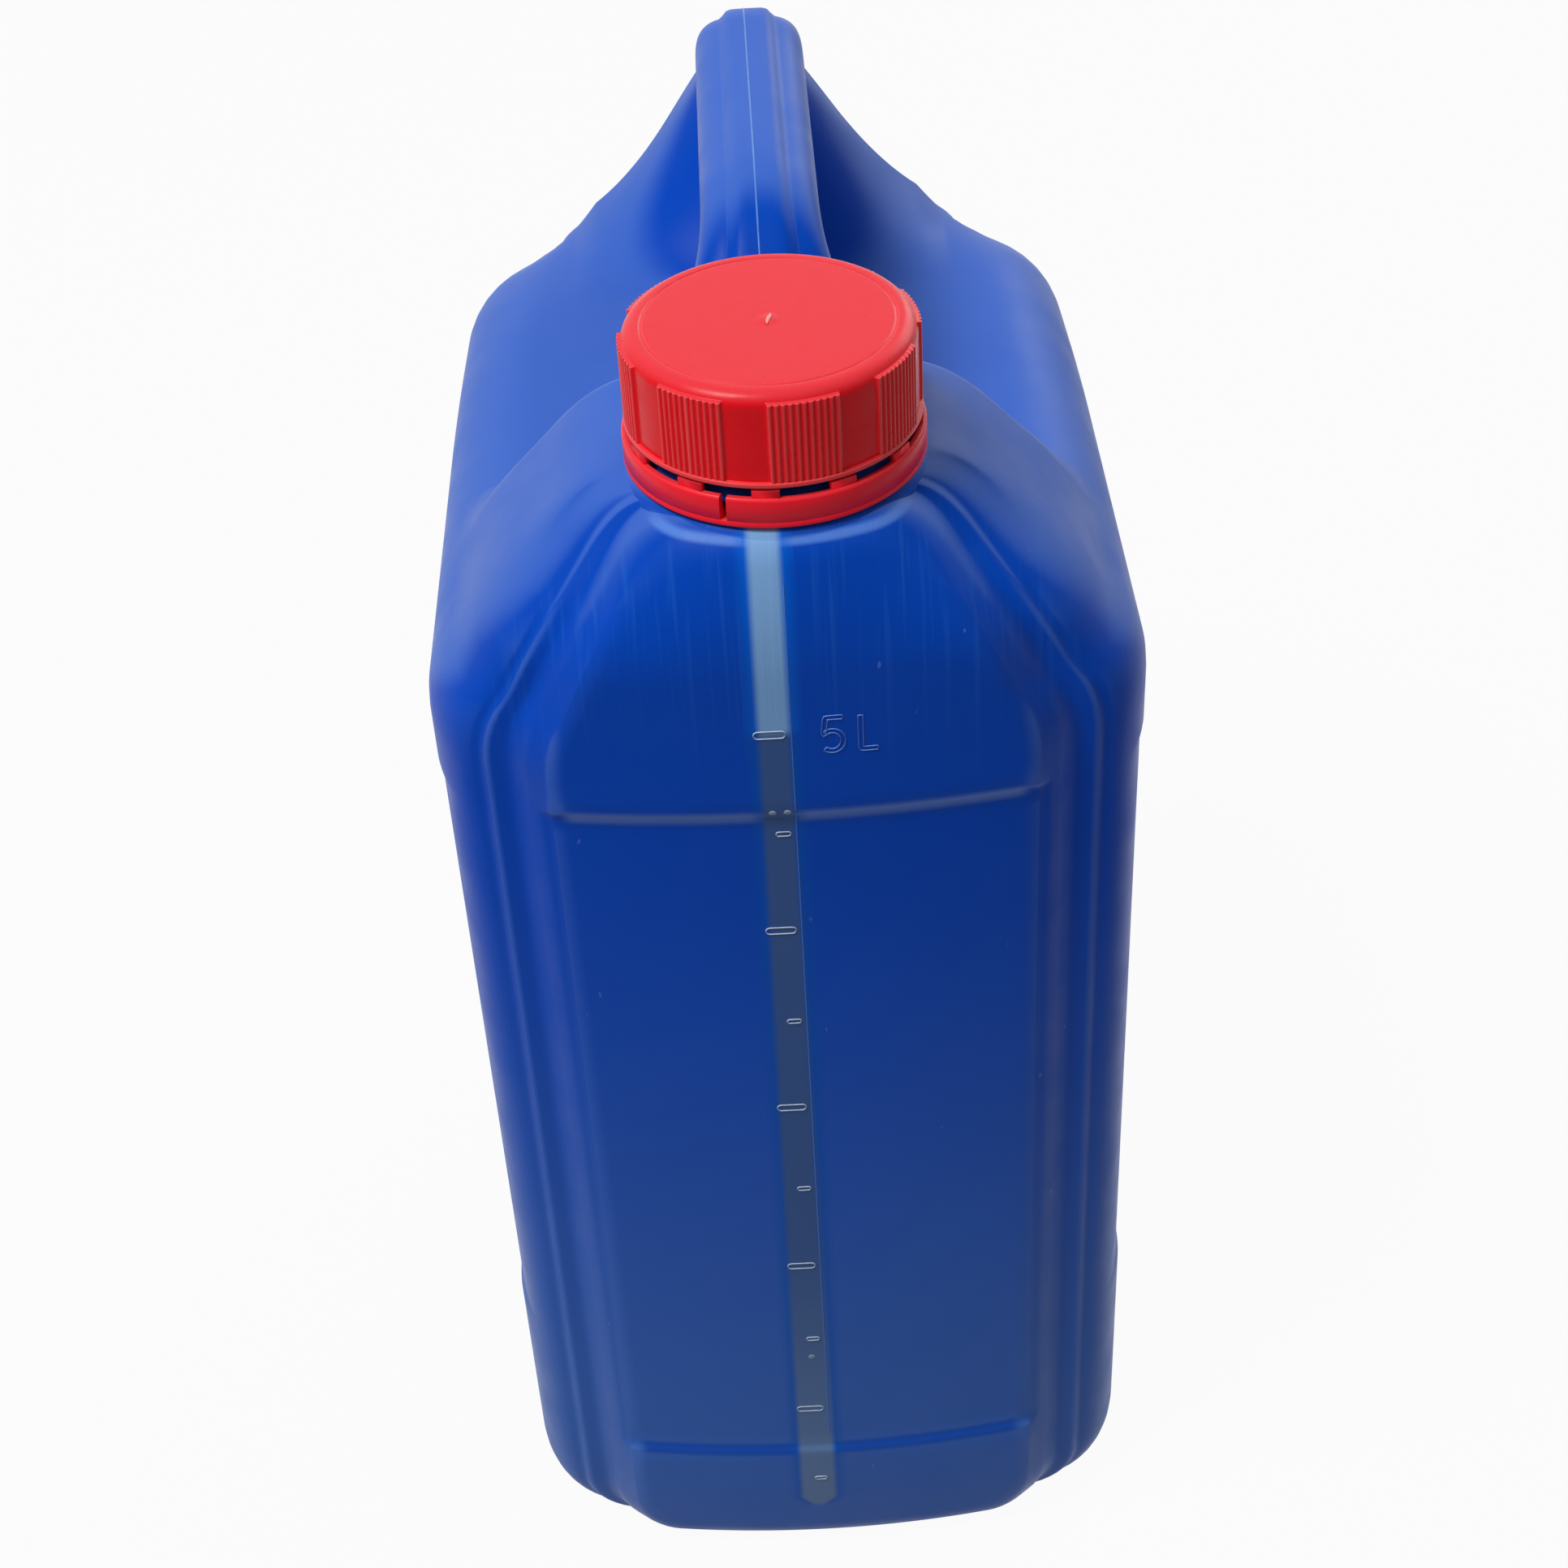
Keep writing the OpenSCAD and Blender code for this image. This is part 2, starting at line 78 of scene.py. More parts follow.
# Narrow ends: bulged panel, groove, ridge and corner
CROWN_R = 250.0
PANEL_HALF = 43.0
PANEL_EDGE_IN = 3.0
PANEL_EDGE_R = 4.0
INNER_HALF = 1.0
GROOVE_DEPTH = 7.2
GROOVE_IN = HALF - PANEL_HALF - GROOVE_DEPTH
RIDGE_IN = GROOVE_IN - 5.0
RIDGE_BACK = 2.0
CORNER_RUN = 27.0
CORNER_LEN = GROOVE_DEPTH + RIDGE_BACK + CORNER_RUN
RIM_R = 4.0

# Sunk label fields: low and high edge, depth and half the height of an edge's step
END_LABEL = (35.0, 212.0)
END_LABEL_DEPTH = 0.9
END_STEP = 1.0
SIDE_LABEL = (62.0, 207.0)
SIDE_LABEL_DEPTH = 0.6
SIDE_STEP = 1.5
LABEL_FADE = 2.5
FIELD_FROM = 12.0
FIELD_RUN = 14.0

# Neck tower in front, and the handle's post behind
TOWER_TOP = 267.0
TOWER_FOOT = 59.0
TOWER_SLOPE = 1.06
TOWER_ROUND = 9.0
TOWER_BACK = 60.0
TOWER_FALL = 16.0
LEAN = 5.6
LEAN_H = 26.0
LEAN_BOW = 0.0135
POST_RISE = 39.0
POST_FOOT = 41.0
POST_RUN = 42.0
POST_AT = LENGTH - POST_RUN - 6.0
POST_ROUND = 22.0
POST_ROUND_BELOW = 3.0
FLARE_SLOPE = 0.45
FLARE_CURVE = 0.022
REAR_BEND = 29.0

# How the rings inside a panel's edge close in, per millimetre of inset
NEST_LIFT = 0.55
NEST_FALL_FRONT = 0.62
NEST_FALL_REAR = 0.8
NEST_EDGE = 1.45
NEST_ARCH = 0.03
LIFT_TOP = END_LABEL[0] - 2.0

# Where the corner lines turn inwards over the shoulder
TURN_RISE = 6.0
TOWER_TURN_FROM = 46.0
TOWER_TURN_RUN = 14.0
REAR_TURN = 0.55
REAR_TURN_CURVE = 0.234
REAR_TURN_SOFT = 0.4

# Neck and cap, shared by several pieces
NECK_Y = (ring_low[1] + ring_high[1]) / 2
NECK_R = 20.6
BORE_R = 18.0
CAP_TOP = 292.0


# Mesh helpers

def add_mesh(name, points, faces, material, body, node=None):
    """A smooth mesh piece from points in millimetres."""
    mesh = bpy.data.meshes.new(name)
    mesh.from_pydata((np.asarray(points) * MM).tolist(), [], faces)
    mesh.update()
    mesh.polygons.foreach_set("use_smooth", [True] * len(mesh.polygons))
    mesh.materials.append(material)
    obj = bpy.data.objects.new(name, mesh)
    bpy.context.scene.collection.objects.link(obj)
    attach(obj, body)
    if node:
        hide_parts(node)


class Build:
    """Collects points and faces of several closed shells into one piece."""

    def __init__(self):
        self.points = []
        self.faces = []
        self.count = 0

    def add(self, points, faces):
        points = np.asarray(points, float).reshape(-1, 3)
        self.faces += [[k + self.count for k in f] for f in faces]
        self.points.append(points)
        self.count += len(points)

    def grid(self, rows, close_v=False):
        """Quads over closed rows of points. close_v joins the last row to the first."""
        m, n = rows.shape[:2]
        faces = []
        for i in range(m if close_v else m - 1):
            k = (i + 1) % m
            for j in range(n):
                q = (j + 1) % n
                faces.append([i * n + j, i * n + q, k * n + q, k * n + j])
        self.add(rows, faces)

    def all_points(self):
        return np.concatenate(self.points)


def limit(v, low=0.0, high=1.0):
    return np.clip(v, low, high)


def ease(t):
    u = limit(t)
    return u * u * (3 - 2 * u)


def rounding(e, r):
    """How far a rounded edge of radius r has drawn in at the depth e."""
    return 0.0 if e >= r else r - math.sqrt(r * r - (r - e) ** 2)


def cos_sin(degrees):
    a = math.radians(degrees)
    return math.cos(a), math.sin(a)


# Form of the tank, after the formulas of its CAD solid

def tower(x):
    """Side plane of the tower, rounded into its flat top."""
    plane, top = (TOWER_FOOT - x) * TOWER_SLOPE, TOWER_TOP - TANK_TOP
    near = np.maximum(0, TOWER_ROUND - np.abs(plane - top)) / TOWER_ROUND
    return limit(np.minimum(plane, top) - near * near * TOWER_ROUND / 4, 0, top)


def flare(x):
    """Rise of the post out of the level top."""
    t = np.maximum(0, POST_FOOT - x)
    return np.minimum(POST_RISE, FLARE_SLOPE * t + FLARE_CURVE * t * t)


def rise(x, d):
    return np.maximum(
        tower(x) * (1 - ease((d - TOWER_BACK) / TOWER_FALL)),
        flare(x) * ease((d - POST_AT) / POST_RUN))


def end_face(x, z, front):
    """Depth of a narrow end behind its foremost point, without the corner profile."""
    c = np.minimum(np.abs(x), PANEL_HALF)
    foot = limit(1 - z / TOE_H)
    depth = CROWN_R - np.sqrt(CROWN_R ** 2 - c * c) + TOE_IN * foot * foot
    if front:
        t = limit((z - TOWER_TOP + LEAN_H) / LEAN_H)
        return depth + t * t * (LEAN + LEAN_BOW * x * x)
    high = limit(z - HANDLE_TOP + REAR_BEND + POST_ROUND_BELOW, 0, POST_ROUND)
    return depth + POST_ROUND - np.sqrt(POST_ROUND ** 2 - high * high)


def sunk(z, edges, step):
    """One inside a label field, zero outside, eased over the steps at its edges."""
    low, high = edges
    return ease((z - low + step) / (2 * step)) * ease((high + step - z) / (2 * step))


def end_label(z):
    return END_LABEL_DEPTH * sunk(z, END_LABEL, END_STEP)


def side_label(z):
    return SIDE_LABEL_DEPTH * sunk(z, SIDE_LABEL, SIDE_STEP)


WALL_ROWS = 36
WALL_MARGIN = 3.0
ROW_GAP = 1.2
STEP_ROWS = (-1.0, -0.5, 0.0, 0.5, 1.0)


def rows_up():
    """Heights of the points along an upright wall, close together where a label field starts or ends."""
    plain = np.linspace(FOOT_R + WALL_MARGIN, WALL_TOP - WALL_MARGIN, WALL_ROWS)
    edges = [z + k * END_STEP for z in END_LABEL for k in STEP_ROWS]
    edges += [z + k * SIDE_STEP for z in SIDE_LABEL for k in STEP_ROWS]
    keep = [z for z in plain if min(abs(z - e) for e in edges) > ROW_GAP]
    return np.array(sorted(keep + edges))


ROWS = rows_up()
BENDS = 10
ROOF = 56
BASE = 12


def rear_slant(x):
    """How far the level top falls towards the back, growing from the post to the long sides."""
    return limit((x - REAR_FROM) * REAR_SLOPE, 0, REAR_MOST)


def narrowing(d):
    """Share of the width that is left where the body narrows towards the back."""
    return 1 - REAR_TAPER * ease((d - TAPER_FROM) / TAPER_RUN)


def half_section(d):
    """Right half of a cross-section: across and up, from the middle of the base to the ridge."""
    inner, flat = HALF - FOOT_R, HALF - SHOULDER_R
    end = min(d, LENGTH - d)
    field = ease((end - FIELD_FROM) / FIELD_RUN)
    push = PUSH_UP * ease((end - PUSH_FROM) / PUSH_RUN)
    a = np.radians(np.linspace(0, 90, BENDS + 1))
    base = np.linspace(0, inner, BASE, endpoint=False)
    shoulder = flat + SHOULDER_R * np.cos(a)
    roof = flat * (1 - np.arange(1, ROOF + 1) / ROOF)
    x = np.concatenate([base, inner + FOOT_R * np.sin(a), HALF - field * side_label(ROWS), shoulder, roof])
    z = np.concatenate([
        push * ease(PUSH_FLAT - PUSH_FALL * base / inner),
        FOOT_R * (1 - np.cos(a)),
        ROWS,
        TANK_TOP - SHOULDER_R * (1 - np.sin(a)) + rise(shoulder, d),
        TANK_TOP + rise(roof, d)])
    return x, z


def front_turn(px):
    return ease((TOWER_TURN_FROM - px) / TOWER_TURN_RUN)


def rear_turn(px):
    """Grows from the long side, so that the panel's edge runs straight up, and ends softly at one."""
    inward = (HALF - px) / SHOULDER_R
    turn = REAR_TURN * inward + REAR_TURN_CURVE * inward ** 2
    soft = REAR_TURN_SOFT / 2
    return np.minimum(turn, 1 + soft) - limit(turn - 1 + soft, 0, REAR_TURN_SOFT) ** 2 / (2 * REAR_TURN_SOFT)


def ring(inset, e, keep, front):
    """A whole ring of the skin. inset narrows the section, e is the depth behind the end face."""
    d = e if front else LENGTH - e
    nest = max(0.0, inset - HALF + PANEL_HALF)
    lift = rounding(e, TOE_R) + nest * NEST_LIFT
    fall = nest * (NEST_FALL_FRONT if front else NEST_FALL_REAR)
    edge = inset if front else rounding(e, RIM_R) + nest * NEST_EDGE
    px, pz = half_section(d)
    over = np.maximum(0, pz - WALL_TOP)
    w = limit(over / TURN_RISE) * (front_turn(px) if front else rear_turn(px))
    x = px * (1 - (inset + (edge - inset) * w) / HALF) * narrowing(d)
    share = over / (TOWER_TOP - WALL_TOP) if front else (pz - TANK_TOP) / POST_RISE
    rear = rear_slant(px) * rounding(LENGTH - d, REAR_R) / REAR_R
    drop = fall * limit(share) + np.maximum(w * rounding(e, RIM_R), rear) * limit(over / SHOULDER_R)
    side = np.where(pz > WALL_TOP, 1.0, np.where(pz < FOOT_R, -1.0, 0.0))
    arch = nest * NEST_ARCH * (1 - px / HALF) * side
    z = pz - drop + lift * limit(1 - pz / LIFT_TOP) + arch
    label = end_label(z) * (1 - ease(e / LABEL_FADE))
    depth = keep * (end_face(x, z, front) + label) + e
    y = depth - BACK if front else BACK - depth
    right = np.stack([x, y, z], axis=1)
    left = right[-2:0:-1] * (-1, 1, 1)
    return np.concatenate([right, left])


EDGE_STEPS = 13
TURN_STEPS = 31
PROFILE_STEPS = 66
PANEL_STEPS = 14


def resampled(points, count):
    """Points of a line in a plane, spread evenly along it."""
    points = np.asarray(points, float)
    s = np.concatenate([[0], np.cumsum(np.hypot(*np.diff(points, axis=0).T))])
    t = np.linspace(0, s[-1], count(s[-1]))
    return np.stack([np.interp(t, s, points[:, k]) for k in (0, 1)], axis=1)


def corner_profile():
    """Inset and depth from the panel over groove and ridge to the long side, with softened creases."""
    a = np.radians(np.linspace(0, 90, EDGE_STEPS))
    panel = np.stack([
        GROOVE_IN + PANEL_EDGE_IN + (GROOVE_DEPTH - PANEL_EDGE_IN) * np.cos(a),
        PANEL_EDGE_R * (1 - np.cos(a))], axis=1)
    groove = [
        [GROOVE_IN + 1.5, GROOVE_DEPTH - 1.2],
        [GROOVE_IN, GROOVE_DEPTH],
        [RIDGE_IN + 0.9, GROOVE_DEPTH + 0.4]]
    a = np.radians(np.linspace(0, 90, TURN_STEPS))
    turn = np.stack([
        RIDGE_IN * (1 - np.sin(a)),
        GROOVE_DEPTH + RIDGE_BACK + CORNER_RUN * (1 - np.cos(a))], axis=1)
    dense = resampled(np.concatenate([panel, groove, turn]), lambda length: PROFILE_STEPS)
    soft = dense.copy()
    soft[1:-1] = (dense[:-2] + 2 * dense[1:-1] + dense[2:]) / 4
    return soft


def end_rings(front):
    """Rings of a narrow end, from the middle of its panel to the long sides."""
    grow = (PANEL_HALF - INNER_HALF) / PANEL_STEPS
    rings = [ring(HALF - INNER_HALF - grow * k, 0.0, 1.0, front) for k in range(PANEL_STEPS)]
    for inset, depth in corner_profile():
        keep = 1 - ease((depth - GROOVE_DEPTH) / (CORNER_LEN - GROOVE_DEPTH))
        rings.append(ring(inset, depth, keep, front))
    return rings


def add_tank(build):
    stations = np.concatenate([
        np.linspace(CORNER_LEN + 2, TOWER_BACK - 1, 10),
        np.linspace(TOWER_BACK, TOWER_BACK + TOWER_FALL, 18),
        np.linspace(TOWER_BACK + TOWER_FALL + 4, POST_AT - 2, 12),
        np.linspace(POST_AT, LENGTH - CORNER_LEN - 1, 12)])
    rings = end_rings(True) + [ring(0.0, d, 0.0, True) for d in stations] + end_rings(False)[::-1]
    rows = np.array(rings)
    build.grid(rows[:, ::-1])
    n = rows.shape[1]
    zip_shut = [[j, j + 1, n - j - 1, (n - j) % n] for j in range(1, n // 2 - 1)]
    zip_shut += [[0, 1, n - 1], [n // 2 - 1, n // 2, n // 2 + 1]]
    build.add(rows[0], zip_shut)
    build.add(rows[-1], [f[::-1] for f in zip_shut])


# Handle: a rounded bar with a raised band, swept along its middle line

HANDLE_W = 22.2
HANDLE_D = 22.0
HANDLE_IN = 1.0
HANDLE_SQUARE = 0.62
BAND_W = 9.0
BAND_H = 1.5
BAND_ROUND = 1.4
BAND_EASE = 2.2
FRONT_BEND = 24.0
BEND_AT = 100.0
LEG_ANGLE = 50.0
LEG_LEN = 38.0
LEG_FLARE = 0.28
LEG_SPREAD = 2.4
POST_DIP = 17.0
DIP_STEPS = 4
BAR_STEPS = 10


def handle_stations():
    """Back from the front, up, angle of the outer side and widening, from the post to the front foot."""
    rear_mid = REAR_BEND - HANDLE_D / 2
    rear_d = LENGTH - HANDLE_IN - HANDLE_D / 2
    bar_z = HANDLE_TOP - HANDLE_D / 2
    out = [(rear_d, bar_z - rear_mid - POST_DIP * (1 - k / DIP_STEPS), 0.0, 1.0) for k in range(DIP_STEPS)]
    for a in np.linspace(0, 90, 22):
        c, s = cos_sin(a)
        out.append((rear_d - rear_mid * (1 - c), bar_z - rear_mid * (1 - s), a, 1.0))
    top_from, top_to = rear_d - rear_mid, BEND_AT
    out += [(top_from + (top_to - top_from) * k / BAR_STEPS, bar_z, 90.0, 1.0) for k in range(1, BAR_STEPS)]
    for t in np.linspace(0, 1, 18):
        a = 90 + LEG_ANGLE * t
        c, s = cos_sin(a)
        out.append((BEND_AT + FRONT_BEND * c, bar_z - FRONT_BEND * (1 - s), a, 1 + LEG_FLARE * t ** 3))
    d0, z0, a, w0 = out[-1]
    c, s = cos_sin(a)
    for t in np.linspace(0, 1, 12)[1:]:
        out.append((d0 - LEG_LEN * t * s, z0 + LEG_LEN * t * c, a, w0 + LEG_SPREAD * LEG_FLARE * t))
    return out


def handle_section():
    """Points across and outwards, the band on the outer side."""
    a = np.radians(np.linspace(-90, 90, 45))
    c = np.abs(np.cos(a)) ** HANDLE_SQUARE
    s = np.sign(np.sin(a)) * np.abs(np.sin(a)) ** HANDLE_SQUARE
    u = HANDLE_W / 2 * c
    v = np.where(s < 0, HANDLE_D / 2, HANDLE_D / 2 - BAND_H) * s
    v += BAND_H * ease((BAND_W / 2 + BAND_ROUND - u) / BAND_EASE) * (s > 0)
    right = np.stack([u, v], axis=1)
    return np.concatenate([right, right[-2:0:-1] * (-1, 1)])


def add_handle(build):
    across, outward = handle_section().T
    rows = []
    for d, z, angle, wide in handle_stations():
        c, s = cos_sin(angle)
        rows.append(np.stack([across * wide, d - BACK + outward * c, z + outward * s], axis=1))
    build.grid(np.array(rows)[:, ::-1])


# Turned pieces on the neck's axis

def turned(profile, segments=192, bulge=None):
    """Rows of points round the neck's axis from a profile of radius and height. bulge adds to the radius."""
    angles = np.linspace(0, 2 * math.pi, segments, endpoint=False)
    rows = []
    for r, z in profile:
        radius = r + (bulge(angles, r, z) if bulge else 0.0)
        rows.append(np.stack([
            radius * np.cos(angles), NECK_Y + radius * np.sin(angles), np.full(segments, z)], axis=1))
    return np.array(rows)


FLANGE_R = 24.5
SEAT_Z = ring_low[2]
RIM_Z = 288.4
BEAD_Z = SEAT_Z + 3.0
BEAD_R = NECK_R + 2.9
NECK_SEGMENTS = 128
THREAD_PITCH = 4.2
THREAD_TURNS = 1.75
THREAD_H = 1.7
THREAD_ROOT = 0.5
THREAD_BELOW = 3.0
THREAD_FOOT_HALF = 1.0
THREAD_CREST_HALF = 0.45
THREAD_STEPS = 90
THREAD_FADE = 6
THREAD_LEAST = 0.1


def add_neck(build):
    profile = [
        (FLANGE_R + 2.5, TOWER_TOP - 3.0), (FLANGE_R + 1.4, TOWER_TOP - 0.4),
        (FLANGE_R + 0.8, TOWER_TOP + 0.1), (FLANGE_R + 0.4, SEAT_Z - 0.2),
        (FLANGE_R, SEAT_Z), (NECK_R, SEAT_Z),
        (NECK_R, BEAD_Z), (BEAD_R - 0.2, BEAD_Z), (BEAD_R, BEAD_Z + 0.3), (BEAD_R - 0.8, BEAD_Z + 1.8),
        (NECK_R, BEAD_Z + 1.9), (NECK_R, RIM_Z - 0.4), (NECK_R - 0.4, RIM_Z), (BORE_R + 0.4, RIM_Z),
        (BORE_R, RIM_Z - 0.4), (BORE_R, TOWER_TOP - 6)]
    build.grid(turned(profile, NECK_SEGMENTS))
    rows = []
    root = NECK_R - THREAD_ROOT
    z0 = RIM_Z - THREAD_BELOW - THREAD_TURNS * THREAD_PITCH
    for i in range(THREAD_STEPS + 1):
        a = 2 * math.pi * THREAD_TURNS * i / THREAD_STEPS
        z = z0 + THREAD_PITCH * THREAD_TURNS * i / THREAD_STEPS
        height = limit(min(i, THREAD_STEPS - i) / THREAD_FADE, THREAD_LEAST, 1)
        crest = root + (THREAD_H + THREAD_ROOT) * height
        section = [
            (root, -THREAD_FOOT_HALF), (crest, -THREAD_CREST_HALF),
            (crest, THREAD_CREST_HALF), (root, THREAD_FOOT_HALF)]
        rows.append([(r * math.cos(a), NECK_Y + r * math.sin(a), z + h) for r, h in section])
    build.grid(np.array(rows))


# Shader helpers

class Shader:
    """A node material with short calls for the nodes used here."""

    def __init__(self, name, roughness, color=None):
        self.material = bpy.data.materials.new(name)
        self.material.use_nodes = True
        self.tree = self.material.node_tree
        self.bsdf = self.tree.nodes["Principled BSDF"]
        self.bsdf.inputs["Roughness"].default_value = roughness
        if color:
            self.bsdf.inputs["Base Color"].default_value = (*color, 1)

    def node(self, kind, **settings):
        n = self.tree.nodes.new(kind)
        for key, value in settings.items():
            setattr(n, key, value)
        return n

    def put(self, socket, value):
        if hasattr(value, "is_linked"):
            self.tree.links.new(value, socket)
        else:
            socket.default_value = value

    def finish(self, key, value):
        """Puts a value on an input of the surface."""
        self.put(self.bsdf.inputs[key], value)

    def math(self, operation, a, b=0.0):
        n = self.node("ShaderNodeMath", operation=operation)
        self.put(n.inputs[0], a)
        self.put(n.inputs[1], b)
        return n.outputs[0]

    def times(self, a, b):
        return self.math("MULTIPLY", a, b)

    def less(self, a, b):
        return self.math("SUBTRACT", a, b)

    def size(self, a):
        return self.math("ABSOLUTE", a)

    def smooth(self, value, low, high, to_low=0.0, to_high=1.0):
        """Smooth step of a value from low to high."""
        n = self.node("ShaderNodeMapRange", interpolation_type="SMOOTHSTEP")
        keys = ("Value", "From Min", "From Max", "To Min", "To Max")
        for key, v in zip(keys, (value, low, high, to_low, to_high)):
            self.put(n.inputs[key], v)
        return n.outputs[0]

    def mix(self, share, a, b):
        n = self.node("ShaderNodeMix", data_type="RGBA")
        self.put(n.inputs["Factor"], share)
        for key, v in (("A", a), ("B", b)):
            socket = [s for s in n.inputs if s.name == key and s.type == "RGBA"][0]
            self.put(socket, (*v, 1) if isinstance(v, tuple) else v)
        return [s for s in n.outputs if s.type == "RGBA"][0]

    def coords(self):
        return self.node("ShaderNodeTexCoord").outputs["Object"]

    def faces(self):
        """How far the surface looks to the right, to the back and up, each from -1 to 1."""
        return self.split(self.node("ShaderNodeNewGeometry").outputs["Normal"])

    def sharpness(self):
        """About 0.5 on flat faces and more on outer edges."""
        return self.node("ShaderNodeNewGeometry").outputs["Pointiness"]

    def split(self, vector):
        n = self.node("ShaderNodeSeparateXYZ")
        self.put(n.inputs[0], vector)
        return n.outputs

    def stretched(self, vector, scale):
        n = self.node("ShaderNodeMapping")
        self.put(n.inputs["Vector"], vector)
        n.inputs["Scale"].default_value = scale
        return n.outputs[0]

    def noise(self, vector, scale, detail=3.0):
        n = self.node("ShaderNodeTexNoise")
        self.put(n.inputs["Vector"], vector)
        n.inputs["Scale"].default_value = scale
        n.inputs["Detail"].default_value = detail
        return n.outputs["Fac"]

    def bump(self, height, distance, after=None):
        n = self.node("ShaderNodeBump")
        self.put(n.inputs["Height"], height)
        n.inputs["Distance"].default_value = distance
        n.inputs["Strength"].default_value = 1.0
        if after is not None:
            self.put(n.inputs["Normal"], after)
        return n.outputs[0]


# Level strip and litre marks on the front, in millimetres
STRIP_X = -3.15
STRIP_HALF_TOP = 2.6
STRIP_HALF_FOOT = 3.7
STRIP_SOFT = 0.8
STRIP_GLOW = 3.0
STRIP_LOW = 16.0
FULL_Z = 230.0
LITRE = 45.5
LITRES = 5
MARK_RIGHT = -1.2
MARK_LONG = 5.5
MARK_SHORT = 2.6
MARK_H = 1.5
MARK_SHORT_H = 0.95
MARK_LINE_R = 0.15


def front_y(x, z):
    """Where the front panel's surface lies."""
    return end_face(np.asarray(x), np.asarray(z), True) + end_label(np.asarray(z)) - BACK


def band(s, value, middle, half):
    """A soft band round a middle value."""
    return s.smooth(s.size(s.less(value, middle * MM)), half * MM, 0.2 * half * MM)


# Colours of the body
BLUE_DEEP = (0.0004, 0.055, 0.45)
BLUE_LIGHT = (0.001, 0.066, 0.51)
# Painted reflection of the floor, lighter towards the foot
FOOT_REFLECTION = (0.04, 0.125, 0.46)
# Painted sheen on faces that look up or back, as if lit from above
UPWARD_SHEEN = (0.05, 0.14, 0.56)
# Painted highlight on convex edges
BLUE_EDGE_GLINT = (0.09, 0.2, 0.62)
RIM_SHINE = (0.16, 0.36, 0.86)
STREAK = (0.03, 0.16, 0.62)
SCUFF = (0.2, 0.32, 0.62)
# Painted highlight on the upper crease of the front's label field
CREASE_HIGHLIGHT = (0.12, 0.22, 0.62)
# Painted shade in the lower crease of the front's label field
CREASE_SHADE = (0.002, 0.055, 0.38)
GLOW_WET = (0.0006, 0.085, 0.44)
GLOW_DRY = (0.0006, 0.13, 0.68)
STRIP_FOOT = (0.12, 0.2, 0.36)
STRIP_WET = (0.046, 0.1, 0.27)
STRIP_DRY = (0.21, 0.4, 0.7)

# Shares of these colours, and how much painted sheen lies on slopes that look sideways or back
SHEEN_SIDEWAYS = 0.5
SHEEN_BACK = 1.8
SHEEN_FULL = 0.6
SHEEN_LEAST = 0.85
GLINT_SHARE = 0.4
GLINT_LESS_FRONT = 0.36
GLINT_LESS_TOWER = 0.7
RIM_SHARE = 0.5
STREAK_SHARE = 0.2
SCUFF_SHARE = 0.3
CREASE_HIGHLIGHT_SHARE = 0.85
CREASE_SHADE_SHARE = 0.8
GLOW_SHARE = 0.6
STRIP_SHARE = 0.95

# Where they start and end: heights and depths in metres, edges in steps of sharpness
FOOT_REFLECTION_Z = (0.215, 0.02)
FRONT_Y = (-0.088, -0.09)
FRONT_X = (0.042, 0.039)
GLINT_EDGE = (0.507, 0.535)
TOWER_Z = (0.236, 0.256)
TOWER_Y = (-0.03, -0.05)
RIM_Y = (-0.076, -0.084)
STREAK_Z = (0.212, 0.256)
STREAK_Y = (-0.07, -0.086)
STRIP_Y = (-0.06, -0.07)
STRIP_FOOT_Z = (0.012, 0.11)

# The same in millimetres: bands by middle and half width, ends of the strip and the liquid's level
RIM_BAND = (TOWER_TOP - 1.5, 0.9)
CREASE_HIGHLIGHT_BAND = (END_LABEL[1] - 0.4, 2.1)
CREASE_SHADE_BAND = (END_LABEL[0], 2.2)
STRIP_TIP = (STRIP_LOW - 1.5, STRIP_LOW + 2.5)
STRIP_TIP_WIDTH = 0.3
STRIP_START = (STRIP_LOW - 2, STRIP_LOW)
STRIP_END = (TOWER_TOP + 0.5, TOWER_TOP)
LEVEL = (FULL_Z - 1, FULL_Z + 1.5)
GLOW = (-STRIP_GLOW, -0.3 * STRIP_SOFT)

# Noise scales per metre and heights of the bumps in metres
CLOUD_SCALE = 26.0
STREAK_STRETCH = (900.0, 90.0, 5.0)
SCUFF_STRETCH = (1.0, 1.0, 0.35)
SCUFF_SCALE = 620.0
SHEEN_SCALE = 90.0
GRAIN_SCALE = 1500.0
GRAIN_H = 0.00002
WAVE_SCALE = 24.0
WAVE_H = 0.00015
STREAK_H = 0.00003


def by_mm(s, value, ends, *to):
    """Smooth step between two ends given in millimetres."""
    return s.smooth(value, ends[0] * MM, ends[1] * MM, *to)


